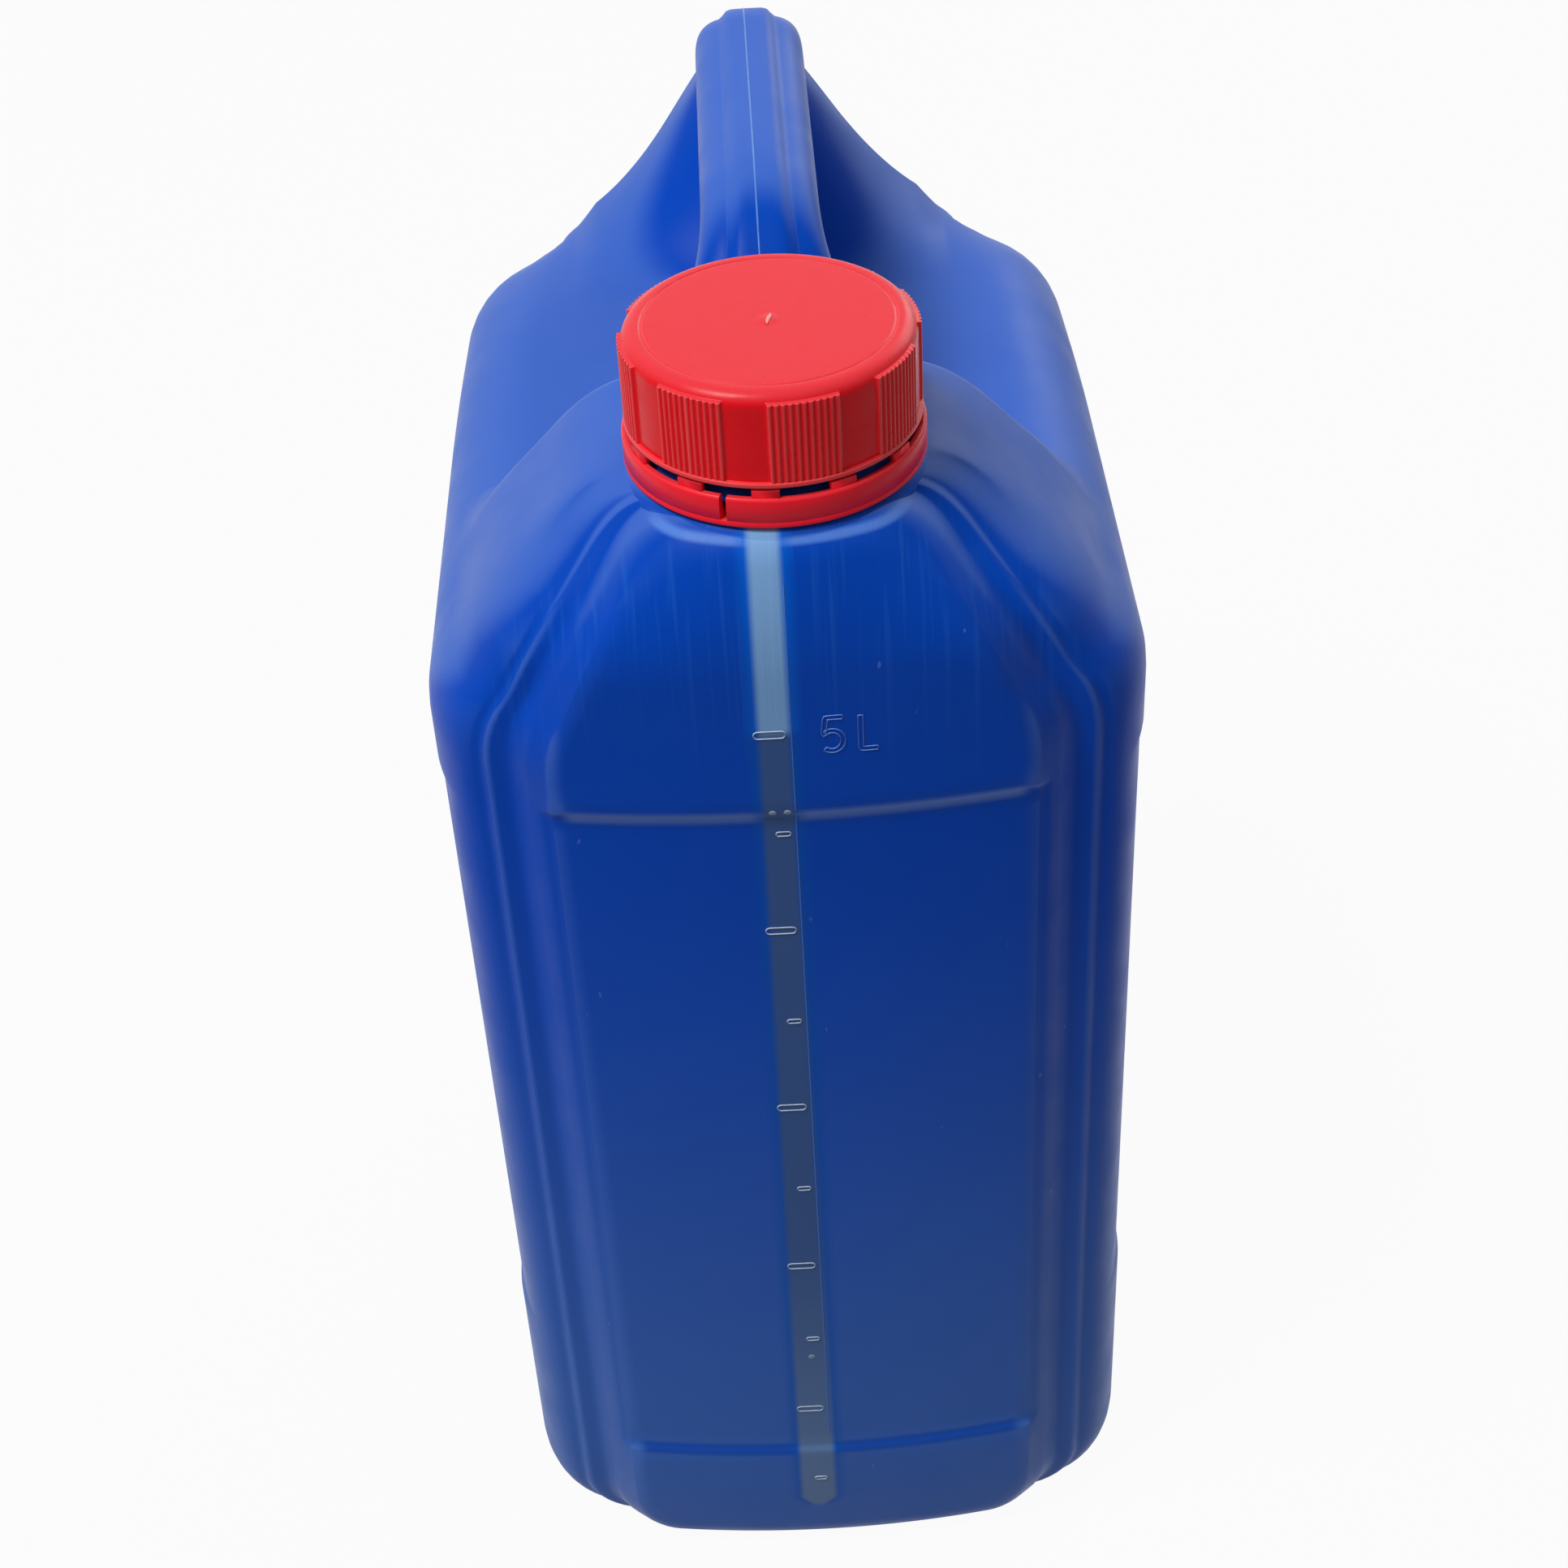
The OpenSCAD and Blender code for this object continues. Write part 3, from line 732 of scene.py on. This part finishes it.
def blue_with_painted_sheen(s, place, y, z, front):
    """Blue plastic with a painted reflection of the floor towards the foot, a painted sheen on upward faces
    and painted highlights on convex edges.
    """
    cloud = s.noise(place, CLOUD_SCALE)
    blue = s.mix(cloud, BLUE_DEEP, BLUE_LIGHT)
    # Painted reflection of the floor, growing towards the foot
    blue = s.mix(s.smooth(z, *FOOT_REFLECTION_Z), blue, FOOT_REFLECTION)
    # Painted sheen: faces that look up, sideways-up or back are lighter, patchy by the cloud noise
    right, back, up = s.faces()
    slope = s.times(s.times(s.size(right), up), SHEEN_SIDEWAYS)
    upward = s.math("ADD", s.math("ADD", up, slope), s.times(back, SHEEN_BACK))
    sheen_share = s.times(s.smooth(upward, 0.0, SHEEN_FULL), s.smooth(cloud, 0.2, 0.8, SHEEN_LEAST, 1.0))
    blue = s.mix(sheen_share, blue, UPWARD_SHEEN)
    # Painted highlight on convex edges, weaker on the front and on the tower's top
    most = s.less(GLINT_SHARE, s.times(front, GLINT_LESS_FRONT))
    edge_glint = s.times(s.smooth(s.sharpness(), *GLINT_EDGE), most)
    tower_top = s.times(s.smooth(z, *TOWER_Z), s.smooth(y, *TOWER_Y))
    edge_glint = s.times(edge_glint, s.less(1.0, s.times(tower_top, GLINT_LESS_TOWER)))
    return s.mix(edge_glint, blue, BLUE_EDGE_GLINT)


def worn_blue_with_painted_light(s, blue, place, y, z, front):
    """Adds a painted highlight on the tower's rim, streaks under the neck, scuffs, and on the label field's
    creases a painted highlight above and a painted shade below.
    """
    # Painted highlight along the tower's rounded rim
    rim = s.times(band(s, z, *RIM_BAND), s.smooth(y, *RIM_Y))
    blue = s.mix(s.times(rim, RIM_SHARE), blue, RIM_SHINE)
    streaks = s.noise(s.stretched(place, STREAK_STRETCH), 1.0, 2.0)
    near_neck = s.times(s.smooth(z, *STREAK_Z), s.smooth(y, *STREAK_Y))
    streak = s.times(s.smooth(streaks, 0.5, 0.75), near_neck)
    blue = s.mix(s.times(streak, STREAK_SHARE), blue, STREAK)
    scuff = s.smooth(s.noise(s.stretched(place, SCUFF_STRETCH), SCUFF_SCALE, 1.0), 0.79, 0.84)
    blue = s.mix(s.times(scuff, SCUFF_SHARE), blue, SCUFF)
    # The upper crease gets a painted highlight, the lower one a painted shade
    crease_highlight = s.times(front, band(s, z, *CREASE_HIGHLIGHT_BAND))
    blue = s.mix(s.times(crease_highlight, CREASE_HIGHLIGHT_SHARE), blue, CREASE_HIGHLIGHT)
    crease_shade = s.times(front, band(s, z, *CREASE_SHADE_BAND))
    return s.mix(s.times(crease_shade, CREASE_SHADE_SHARE), blue, CREASE_SHADE), streak


def with_strip(s, blue, x, y, z):
    """Adds the clear strip: pale over the liquid, dark below its level, a little wider towards its foot."""
    away = s.size(s.less(x, STRIP_X * MM))
    wide = by_mm(s, z, (STRIP_LOW, TOWER_TOP), STRIP_HALF_FOOT * MM, STRIP_HALF_TOP * MM)
    wide = s.times(wide, by_mm(s, z, STRIP_TIP, STRIP_TIP_WIDTH, 1.0))
    within = s.less(wide, away)
    ends = s.times(s.smooth(y, *STRIP_Y), by_mm(s, z, STRIP_START))
    ends = s.times(ends, by_mm(s, z, STRIP_END))
    dry = by_mm(s, z, LEVEL)
    glow = s.times(ends, by_mm(s, within, GLOW))
    blue = s.mix(s.times(glow, GLOW_SHARE), blue, s.mix(dry, GLOW_WET, GLOW_DRY))
    wet = s.mix(s.smooth(z, *STRIP_FOOT_Z), STRIP_FOOT, STRIP_WET)
    clear = s.mix(dry, wet, STRIP_DRY)
    strip = s.times(ends, by_mm(s, within, (-STRIP_SOFT, STRIP_SOFT)))
    return s.mix(s.times(strip, STRIP_SHARE), blue, clear)


def body_material():
    s = Shader("blue_polyethylene", 0.4)
    s.finish("Specular IOR Level", 0.06)
    place = s.coords()
    x, y, z = s.split(place)
    front = s.times(s.smooth(y, *FRONT_Y), s.smooth(s.size(x), *FRONT_X))
    blue, streak = worn_blue_with_painted_light(s, blue_with_painted_sheen(s, place, y, z, front), place, y, z, front)
    s.finish("Base Color", with_strip(s, blue, x, y, z))
    s.finish("Roughness", s.smooth(s.noise(place, SHEEN_SCALE), 0.3, 0.7, 0.34, 0.42))
    grain = s.bump(s.noise(place, GRAIN_SCALE, 2.0), GRAIN_H)
    waves = s.bump(s.noise(place, WAVE_SCALE, 1.0), WAVE_H, after=grain)
    s.finish("Normal", s.bump(streak, STREAK_H, after=waves))
    return s.material


# Painted highlight on the red pieces' convex edges
RED_EDGE_GLINT = (0.9, 0.2, 0.2)
RED_GLINT_EDGE = (0.507, 0.54)
TORN = (0.85, 0.45, 0.42)
TORN_SHARE = 0.75
TORN_Z = (CAP_TOP + 0.1, CAP_TOP + 0.3)


def red_material(name, color, lit_top_color, roughness, glint_share):
    """Red plastic with a painted highlight on upward faces and on convex edges, paler where the gate was torn
    off.
    """
    s = Shader(name, roughness)
    s.finish("Specular IOR Level", 0.14)
    place = s.coords()
    tone = s.mix(s.noise(place, 120.0), color, tuple(min(1.0, 1.08 * c) for c in color))
    up = s.faces()[2]
    # Painted light: upward faces lighter as if lit from above
    tone = s.mix(s.smooth(up, 0.2, 0.95), tone, lit_top_color)
    # Painted highlight on convex edges, left off the flat top
    edge_glint = s.times(s.smooth(s.sharpness(), *RED_GLINT_EDGE), s.smooth(up, 0.98, 0.9, 0.0, glint_share))
    tone = s.mix(edge_glint, tone, RED_EDGE_GLINT)
    torn = by_mm(s, s.split(place)[2], TORN_Z)
    s.finish("Base Color", s.mix(s.times(torn, TORN_SHARE), tone, TORN))
    s.finish("Roughness", s.smooth(s.noise(place, 300.0), 0.3, 0.7, roughness - 0.04, roughness + 0.05))
    s.finish("Normal", s.bump(s.noise(place, 1800.0, 2.0), 0.000015))
    return s.material


def edge_material(name, color, lit_top_color):
    """Thin raised lines, painted lighter on faces that look up, as if they caught the light from above."""
    s = Shader(name, 0.3)
    s.finish("Specular IOR Level", 0.2)
    place = s.coords()
    # Painted light: faces that look up take the lighter colour
    light = s.times(s.smooth(s.faces()[2], -0.3, 0.7), s.smooth(s.noise(place, 700.0), 0.2, 0.8, 0.7, 1.0))
    s.finish("Base Color", s.mix(light, color, lit_top_color))
    s.finish("Normal", s.bump(s.noise(place, 2000.0, 1.0), 0.00001))
    return s.material


def liner_material():
    s = Shader("liner_foam", 0.7)
    place = s.coords()
    s.finish("Base Color", s.mix(s.noise(place, 900.0), (0.7, 0.69, 0.65), (0.82, 0.81, 0.77)))
    s.finish("Normal", s.bump(s.noise(place, 2500.0, 2.0), 0.00004))
    return s.material


BLUE = body_material()
MARK_EDGE = edge_material("mark_edges", (0.08, 0.14, 0.3), (0.6, 0.68, 0.8))
DOT_EDGE = edge_material("dot_edges", (0.14, 0.2, 0.31), (0.3, 0.37, 0.47))
TEXT_EDGE = edge_material("text_edges", (0.0006, 0.05, 0.4), (0.16, 0.32, 0.72))
SEAM_EDGE = edge_material("seam_edges", (0.004, 0.1, 0.5), (0.1, 0.26, 0.68))
RED = red_material("red_cap", (0.75, 0.0002, 0.007), (0.79, 0.034, 0.048), 0.28, 0.3)
RED_RING = red_material("red_ring", (0.9, 0.01, 0.028), (0.79, 0.03, 0.042), 0.32, 0.0)

# Body
shell = Build()
add_tank(shell)
add_handle(shell)
add_neck(shell)
add_mesh("canister_shell", shell.all_points(), shell.faces, BLUE, "jug", "jug_body")


# Raised marks on the front

def unit(vectors):
    return vectors / np.linalg.norm(vectors, axis=1)[:, None]


def tube(build, points, radius, closed=False, out=(0.0, -1.0, 0.0)):
    """A thin raised line along points of a surface that looks outwards."""
    points = np.asarray(points, float)
    n = len(points)
    ahead = np.roll(points, -1, axis=0) if closed else points[np.minimum(np.arange(n) + 1, n - 1)]
    behind = np.roll(points, 1, axis=0) if closed else points[np.maximum(np.arange(n) - 1, 0)]
    along = unit(ahead - behind)
    side = unit(np.cross(along, out))
    up = np.cross(side, along)
    angles = np.linspace(0, 2 * math.pi, 8, endpoint=False)
    rows = points[:, None] + radius * (
        np.cos(angles)[None, :, None] * side[:, None] + np.sin(angles)[None, :, None] * up[:, None])
    build.grid(rows, close_v=closed)


def on_front(x, z, proud=0.0):
    """Points on the front panel, or standing proud of it."""
    x, z = np.asarray(x, float), np.asarray(z, float)
    return np.stack([x, front_y(x, z) - proud, z], axis=-1)


def slot_outline(right, z, width, height):
    """Outline of a level mark with round ends."""
    r = height / 2
    a = np.radians(np.linspace(-90, 90, 9))
    x = np.concatenate([right - r + r * np.cos(a), right - width + r - r * np.cos(a)])
    zz = np.concatenate([z + r * np.sin(a), z - r * np.sin(a)])
    return on_front(x, zz)


DOTS = ((-4.2, 212.7), (-1.6, 212.7), (-3.0, 65.0))
DOT_R = 0.7
DOT_H = 0.15


def dot(build, x, z):
    """A small round bump on the front panel."""
    a = np.linspace(0, 2 * math.pi, 16, endpoint=False)
    rows = []
    for b in np.radians([0, 30, 55, 75, 89]):
        r = DOT_R * math.cos(b)
        rows.append(on_front(x + r * np.cos(a), z + r * np.sin(a), DOT_H * math.sin(b)))
    build.grid(np.array(rows))


marks = Build()
for half_litres in range(1, 2 * LITRES + 1):
    z = FULL_Z - LITRE * (LITRES - half_litres / 2)
    long_mark = half_litres % 2 == 0
    width, height = (MARK_LONG, MARK_H) if long_mark else (MARK_SHORT, MARK_SHORT_H)
    tube(marks, slot_outline(MARK_RIGHT, z, width, height), MARK_LINE_R, True)
add_mesh("level_marks", marks.all_points(), marks.faces, MARK_EDGE, "jug")
dots = Build()
for x, z in DOTS:
    dot(dots, x, z)
add_mesh("strip_dots", dots.all_points(), dots.faces, DOT_EDGE, "jug")

TEXT_LEFT = 5.1
TEXT_LOW = 225.8
TEXT_H = 7.2
TEXT_STEP = 0.4
TEXT_LINE_R = 0.13
DIGIT_W = 3.7
LETTER_AT = 6.6
LETTER_W = 2.9
STROKE_HALF = 0.42


def text_strokes():
    """Middle lines of a five and an L, across and up."""
    a = np.radians(np.linspace(120, -130, 22))
    bowl = np.stack([DIGIT_W * (0.44 + 0.52 * np.cos(a)), TEXT_H * (0.31 + 0.3 * np.sin(a))], axis=1)
    five = np.concatenate([
        [[DIGIT_W * 0.95, TEXT_H], [DIGIT_W * 0.16, TEXT_H], [DIGIT_W * 0.06, TEXT_H * 0.5]], bowl])
    letter = np.array([[0, TEXT_H], [0, 0], [LETTER_W, 0]]) + (LETTER_AT, 0)
    return five + (TEXT_LEFT, TEXT_LOW), letter + (TEXT_LEFT, TEXT_LOW)


text = Build()
for stroke in text_strokes():
    line = resampled(stroke, lambda length: max(3, int(length / TEXT_STEP)))
    tangent = unit(np.gradient(line, axis=0))
    side = np.stack([-tangent[:, 1], tangent[:, 0]], axis=1) * STROKE_HALF
    outline = np.concatenate([line + side, (line - side)[::-1]])
    tube(text, on_front(outline[:, 0], outline[:, 1]), TEXT_LINE_R, True)
add_mesh("capacity_mark", text.all_points(), text.faces, TEXT_EDGE, "jug")

# Mould seam down the front and along the handle
SEAM_X = -0.15
SEAM_LOW = 40.0
SEAM_HIGH = TOWER_TOP - 8
SEAM_STEPS = 150
SEAM_R = 0.16
SEAM_SINK = 0.06
HANDLE_SEAM_X = -0.6
HANDLE_SEAM_R = 0.2
HANDLE_SEAM_STATIONS = slice(4, -5)
seam = Build()
seam_z = np.linspace(SEAM_LOW, SEAM_HIGH, SEAM_STEPS)
tube(seam, on_front(np.full(SEAM_STEPS, SEAM_X), seam_z, -SEAM_SINK), SEAM_R)
over_handle, outward = [], []
seam_out = HANDLE_D / 2 - SEAM_SINK
for d, z, angle, wide in handle_stations()[HANDLE_SEAM_STATIONS]:
    c, s = cos_sin(angle)
    over_handle.append((HANDLE_SEAM_X, d - BACK + seam_out * c, z + seam_out * s))
    outward.append((0.0, c, s))
tube(seam, over_handle, HANDLE_SEAM_R, out=outward)
add_mesh("mould_seam", seam.all_points(), seam.faces, SEAM_EDGE, "jug")

# Screw cap
CAP_R = 24.8
CAP_LOW = cap_low[2]
CAP_EDGE = 2.6
CAP_IN_R = 22.7
CAP_ROOF = 1.8
CAP_SEGMENTS = 1080
LIP_H = 0.9
LIP_R = (cap_high[0] - cap_low[0]) / 2
GRIPS = 8
GRIP_RIBS = 11
GRIP_ANGLE = math.radians(28.5)
GRIP_SIDE = math.radians(0.6)
GRIP_H = 0.6
GRIP_ROOT = 0.25
GRIP_TOP = CAP_TOP - 1.5
GRIP_FIRST = math.radians(-90 + 11)
GROOVE_R = 0.86 * CAP_R
GROOVE_W = 0.5
GROOVE_SINK = 0.2
AXIS_R = 0.02
GATE_Z = CAP_TOP + 0.12


def grip(angles, r, z):
    """How far a ribbed pad stands out of the skirt, the lip's ledge and the foot of the rounded edge."""
    if r < CAP_R - 1.0 or z > GRIP_TOP + 0.2:
        return 0.0
    fade = ease((z - CAP_LOW - LIP_H + 0.2) / 0.2) * ease((GRIP_TOP + 0.1 - z) / 0.25)
    step = 2 * math.pi / GRIPS
    local = (angles - GRIP_FIRST + step / 2) % step - step / 2
    inside = ease((GRIP_ANGLE / 2 - np.abs(local)) / GRIP_SIDE)
    rib = np.abs(np.sin(math.pi * (local / GRIP_ANGLE + 0.5) * GRIP_RIBS))
    return np.maximum(0, CAP_R + GRIP_ROOT + (GRIP_H - GRIP_ROOT) * rib - r) * fade * inside


def cap_profile():
    """Radius and height from the inner foot over the lip, the skirt and the edge to the middle of the top."""
    ledge = CAP_LOW + LIP_H
    edge_low = CAP_TOP - CAP_EDGE
    skirt = np.concatenate([
        ledge + np.linspace(0.2, 0.5, 4),
        np.linspace(ledge + 1, edge_low, 9),
        np.linspace(edge_low + 0.2, GRIP_TOP - 0.3, 5),
        GRIP_TOP + np.linspace(-0.2, 0.15, 8)])
    first = math.asin((GRIP_TOP + 0.2 - edge_low) / CAP_EDGE)
    lip = [
        (CAP_IN_R, CAP_LOW + 0.3), (CAP_IN_R + 0.4, CAP_LOW), (LIP_R - 0.3, CAP_LOW),
        (LIP_R - 0.06, CAP_LOW + 0.08), (LIP_R, CAP_LOW + 0.25), (LIP_R, ledge - 0.2),
        (LIP_R - 0.05, ledge - 0.05), (LIP_R - 0.15, ledge),
        (CAP_R + 0.1, ledge), (CAP_R + 0.03, ledge + 0.05)]
    wall = [(CAP_R - rounding(CAP_TOP - z, CAP_EDGE), z) for z in skirt]
    edge = [(CAP_R - CAP_EDGE * (1 - math.cos(t)), CAP_TOP - CAP_EDGE * (1 - math.sin(t)))
            for t in np.linspace(first, math.pi / 2, 12)]
    groove = [(GROOVE_R + u * GROOVE_W, CAP_TOP - v * GROOVE_SINK)
              for u, v in ((1.0, 0), (0.5, 0.05), (0.3, 1), (-0.3, 1), (-0.5, 0.05), (-1.0, 0))]
    top = [(r, CAP_TOP) for r in (18.0, 12.0, 6.0, 2.4, 1.6)]
    return lip + wall + edge + groove + top + [(1.3, CAP_TOP + 0.08), (AXIS_R, GATE_Z)]


def torn_gate(build):
    """The sliver left standing where the gate was torn off in the middle of the top."""
    rows = []
    foot = CAP_TOP - 0.1
    for t in np.linspace(-1, 1, 15):
        x, y = 0.3 * math.sin(2.2 * t), NECK_Y + 2.0 * t
        half = 0.55 * (1 - t * t) + 0.08
        top = GATE_Z + 0.36 * (1 - t ** 4) * (0.75 + 0.25 * math.sin(5 * t + 1))
        rows.append([
            (x - half, y, foot), (x + half, y, foot), (x + 0.5 * half, y, top), (x - 0.2 * half, y, top)])
    build.grid(np.array(rows))


cap = Build()
cap.grid(turned(cap_profile(), CAP_SEGMENTS, grip))
torn_gate(cap)
ceiling = CAP_TOP - CAP_ROOF
inside = [(CAP_IN_R, CAP_LOW + 0.3), (CAP_IN_R, ceiling - 0.6), (CAP_IN_R - 0.6, ceiling), (AXIS_R, ceiling)]
cap.grid(turned(inside)[:, ::-1])
add_mesh("cap_shell", cap.all_points(), cap.faces, RED, "cap", "screw_cap")

# Tamper ring: a full foot, and above it a band that the slit opens
RING_R = (ring_high[0] - ring_low[0]) / 2
RING_WALL = 1.5
RING_LIP = 2.0
RING_IN = RING_R - RING_WALL
RING_TOP = SEAT_Z + 5.6
LIP_IN = NECK_R + 0.8
SLIT_ANGLE = math.radians(-90 - 21)
SLIT_W = 1.2
SLIT_LOW = SEAT_Z + 1.2
BAND_STEPS = 240
BRIDGES = 12
BRIDGE_W = 4.6
BRIDGE_TURN = math.radians(-5)
BRIDGE_LOW = RING_TOP - 0.5
BRIDGE_TOP = ring_high[2]


def crisp(profile, bevel=0.04):
    """A closed profile with each corner cut by a tiny bevel, so that its faces shade flat."""
    points = np.asarray(profile, float)
    out = []
    for p, before, after in zip(points, np.roll(points, 1, axis=0), np.roll(points, -1, axis=0)):
        out += [p + bevel * (q - p) / np.linalg.norm(q - p) for q in (before, after)]
    return [tuple(p) for p in out]


ring_piece = Build()
foot = crisp([
    (RING_R - 0.3, SEAT_Z), (RING_R, SEAT_Z + 0.3), (RING_R, SLIT_LOW), (LIP_IN, SLIT_LOW), (LIP_IN, SEAT_Z)])
ring_piece.grid(turned(foot), close_v=True)
band_edge = crisp([
    (RING_R, SLIT_LOW), (RING_R, RING_TOP - 0.4), (RING_R - 0.3, RING_TOP), (RING_IN + 0.3, RING_TOP),
    (RING_IN, RING_TOP - 0.3), (RING_IN, SEAT_Z + RING_LIP), (LIP_IN, SEAT_Z + RING_LIP), (LIP_IN, SLIT_LOW)])
gap = SLIT_W / RING_R
arc = SLIT_ANGLE + gap / 2 + np.linspace(0, 2 * math.pi - gap, BAND_STEPS)
strip = np.array([[(r * math.cos(a), NECK_Y + r * math.sin(a), z) for r, z in band_edge] for a in arc])
ring_piece.grid(strip)
for end in (strip[0][::-1], strip[-1]):
    ring_piece.add(end, [list(range(len(band_edge)))])
for k in range(BRIDGES):
    a = 2 * math.pi * k / BRIDGES + BRIDGE_TURN
    turn = np.array([[math.cos(a), -math.sin(a)], [math.sin(a), math.cos(a)]])
    r0, r1, half = RING_IN - 0.2, RING_IN + 0.9, BRIDGE_W / 2
    outline = np.array([(r0, -half), (r1, -half), (r1, half), (r0, half)]) @ turn.T
    rows = np.array([[(x, NECK_Y + y, z) for x, y in outline] for z in (BRIDGE_LOW, BRIDGE_TOP)])
    ring_piece.grid(rows)
    ring_piece.add(rows[-1], [[0, 1, 2, 3]])
add_mesh("ring_shell", ring_piece.all_points(), ring_piece.faces, RED_RING, "jug", "tamper_ring")

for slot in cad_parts["cap_liner"].material_slots:
    slot.material = liner_material()

# Floor, light and camera, in metres
FLOOR_REACH = 6.0
FLOOR_Z = -0.0005
FLOOR_GREY = 0.4
FLOOR_WHITE = 0.95
SKY_LIGHT = 0.22
SKY_WHITE = 0.97
WHITE = (1, 1, 1, 1)
floor_mesh = bpy.data.meshes.new("floor")
corners = [(i * FLOOR_REACH, j * FLOOR_REACH, 0) for i, j in ((-1, -1), (1, -1), (1, 1), (-1, 1))]
floor_mesh.from_pydata(corners, [], [[0, 1, 2, 3]])
floor = bpy.data.objects.new("floor", floor_mesh)
bpy.context.scene.collection.objects.link(floor)
floor.location.z = FLOOR_Z


def background_rays(tree):
    """One for rays that show the background: from the camera, by gloss or through clear pieces."""
    paths = tree.nodes.new("ShaderNodeLightPath").outputs
    seen = paths["Is Camera Ray"]
    for key in ("Is Glossy Ray", "Is Transmission Ray"):
        either = tree.nodes.new("ShaderNodeMath")
        either.operation = "MAXIMUM"
        tree.links.new(seen, either.inputs[0])
        tree.links.new(paths[key], either.inputs[1])
        seen = either.outputs[0]
    return seen


floor_paint = Shader("floor_paint", 0.9, (FLOOR_GREY, FLOOR_GREY, FLOOR_GREY))
white = floor_paint.node("ShaderNodeEmission")
white.inputs["Color"].default_value = WHITE
join = floor_paint.node("ShaderNodeMixShader")
floor_paint.put(join.inputs[0], floor_paint.times(background_rays(floor_paint.tree), FLOOR_WHITE))
floor_paint.put(join.inputs[1], floor_paint.bsdf.outputs[0])
floor_paint.put(join.inputs[2], white.outputs[0])
floor_paint.put(floor_paint.tree.nodes["Material Output"].inputs["Surface"], join.outputs[0])
floor_mesh.materials.append(floor_paint.material)

world = bpy.data.worlds.new("studio")
bpy.context.scene.world = world
world.use_nodes = True
sky = world.node_tree.nodes["Background"]
sky.inputs["Color"].default_value = WHITE
strength = world.node_tree.nodes.new("ShaderNodeMapRange")
strength.inputs["To Min"].default_value = SKY_LIGHT
strength.inputs["To Max"].default_value = SKY_WHITE
world.node_tree.links.new(background_rays(world.node_tree), strength.inputs["Value"])
world.node_tree.links.new(strength.outputs[0], sky.inputs["Strength"])


def placed(obj, place, axes):
    """Links an object and turns it to the given right, upper and rear axes."""
    bpy.context.scene.collection.objects.link(obj)
    turn = Matrix(np.stack(axes, axis=1).tolist()).to_4x4()
    obj.matrix_world = Matrix.Translation(place) @ turn


LIGHT_TARGET = np.array((0.0, 0.0, 0.2))


def area_light(name, place, size, power):
    """A rectangular lamp that looks at the canister."""
    lamp = bpy.data.lights.new(name, "AREA")
    lamp.shape = "RECTANGLE"
    lamp.size, lamp.size_y = size
    lamp.energy = power
    away = np.array(place) - LIGHT_TARGET
    back = away / np.linalg.norm(away)
    right = np.cross((0.0, 0.0, 1.0), back)
    right /= np.linalg.norm(right)
    placed(bpy.data.objects.new(name, lamp), place, [right, np.cross(back, right), back])


area_light("key", (-0.75, -0.5, 1.75), (0.6, 0.6), 27)
area_light("back", (1.0, 1.3, 1.0), (1.2, 1.0), 10)

# Camera fitted to the photograph: its width and focal length in pixels, the eye in millimetres
PHOTO = 1932
FOCAL_PX = 3326.0
SENSOR = 36.0
EYE = (-3.0, -459.4, 511.2)
YAW, PITCH, ROLL = (math.radians(a) for a in (0.17, 38.7, 3.29))
camera = bpy.data.cameras.new("camera")
camera.sensor_width = SENSOR
camera.lens = FOCAL_PX / PHOTO * SENSOR
camera.clip_start = 0.01
ahead = np.array([math.sin(YAW) * math.cos(PITCH), math.cos(YAW) * math.cos(PITCH), -math.sin(PITCH)])
level = np.array([math.cos(YAW), -math.sin(YAW), 0.0])
down = np.cross(ahead, level)
right = math.cos(ROLL) * level + math.sin(ROLL) * down
down = math.cos(ROLL) * down - math.sin(ROLL) * level
eye = bpy.data.objects.new("camera", camera)
placed(eye, [c * MM for c in EYE], [right, -down, -ahead])
bpy.context.scene.camera = eye
bpy.context.scene.view_settings.view_transform = "Standard"
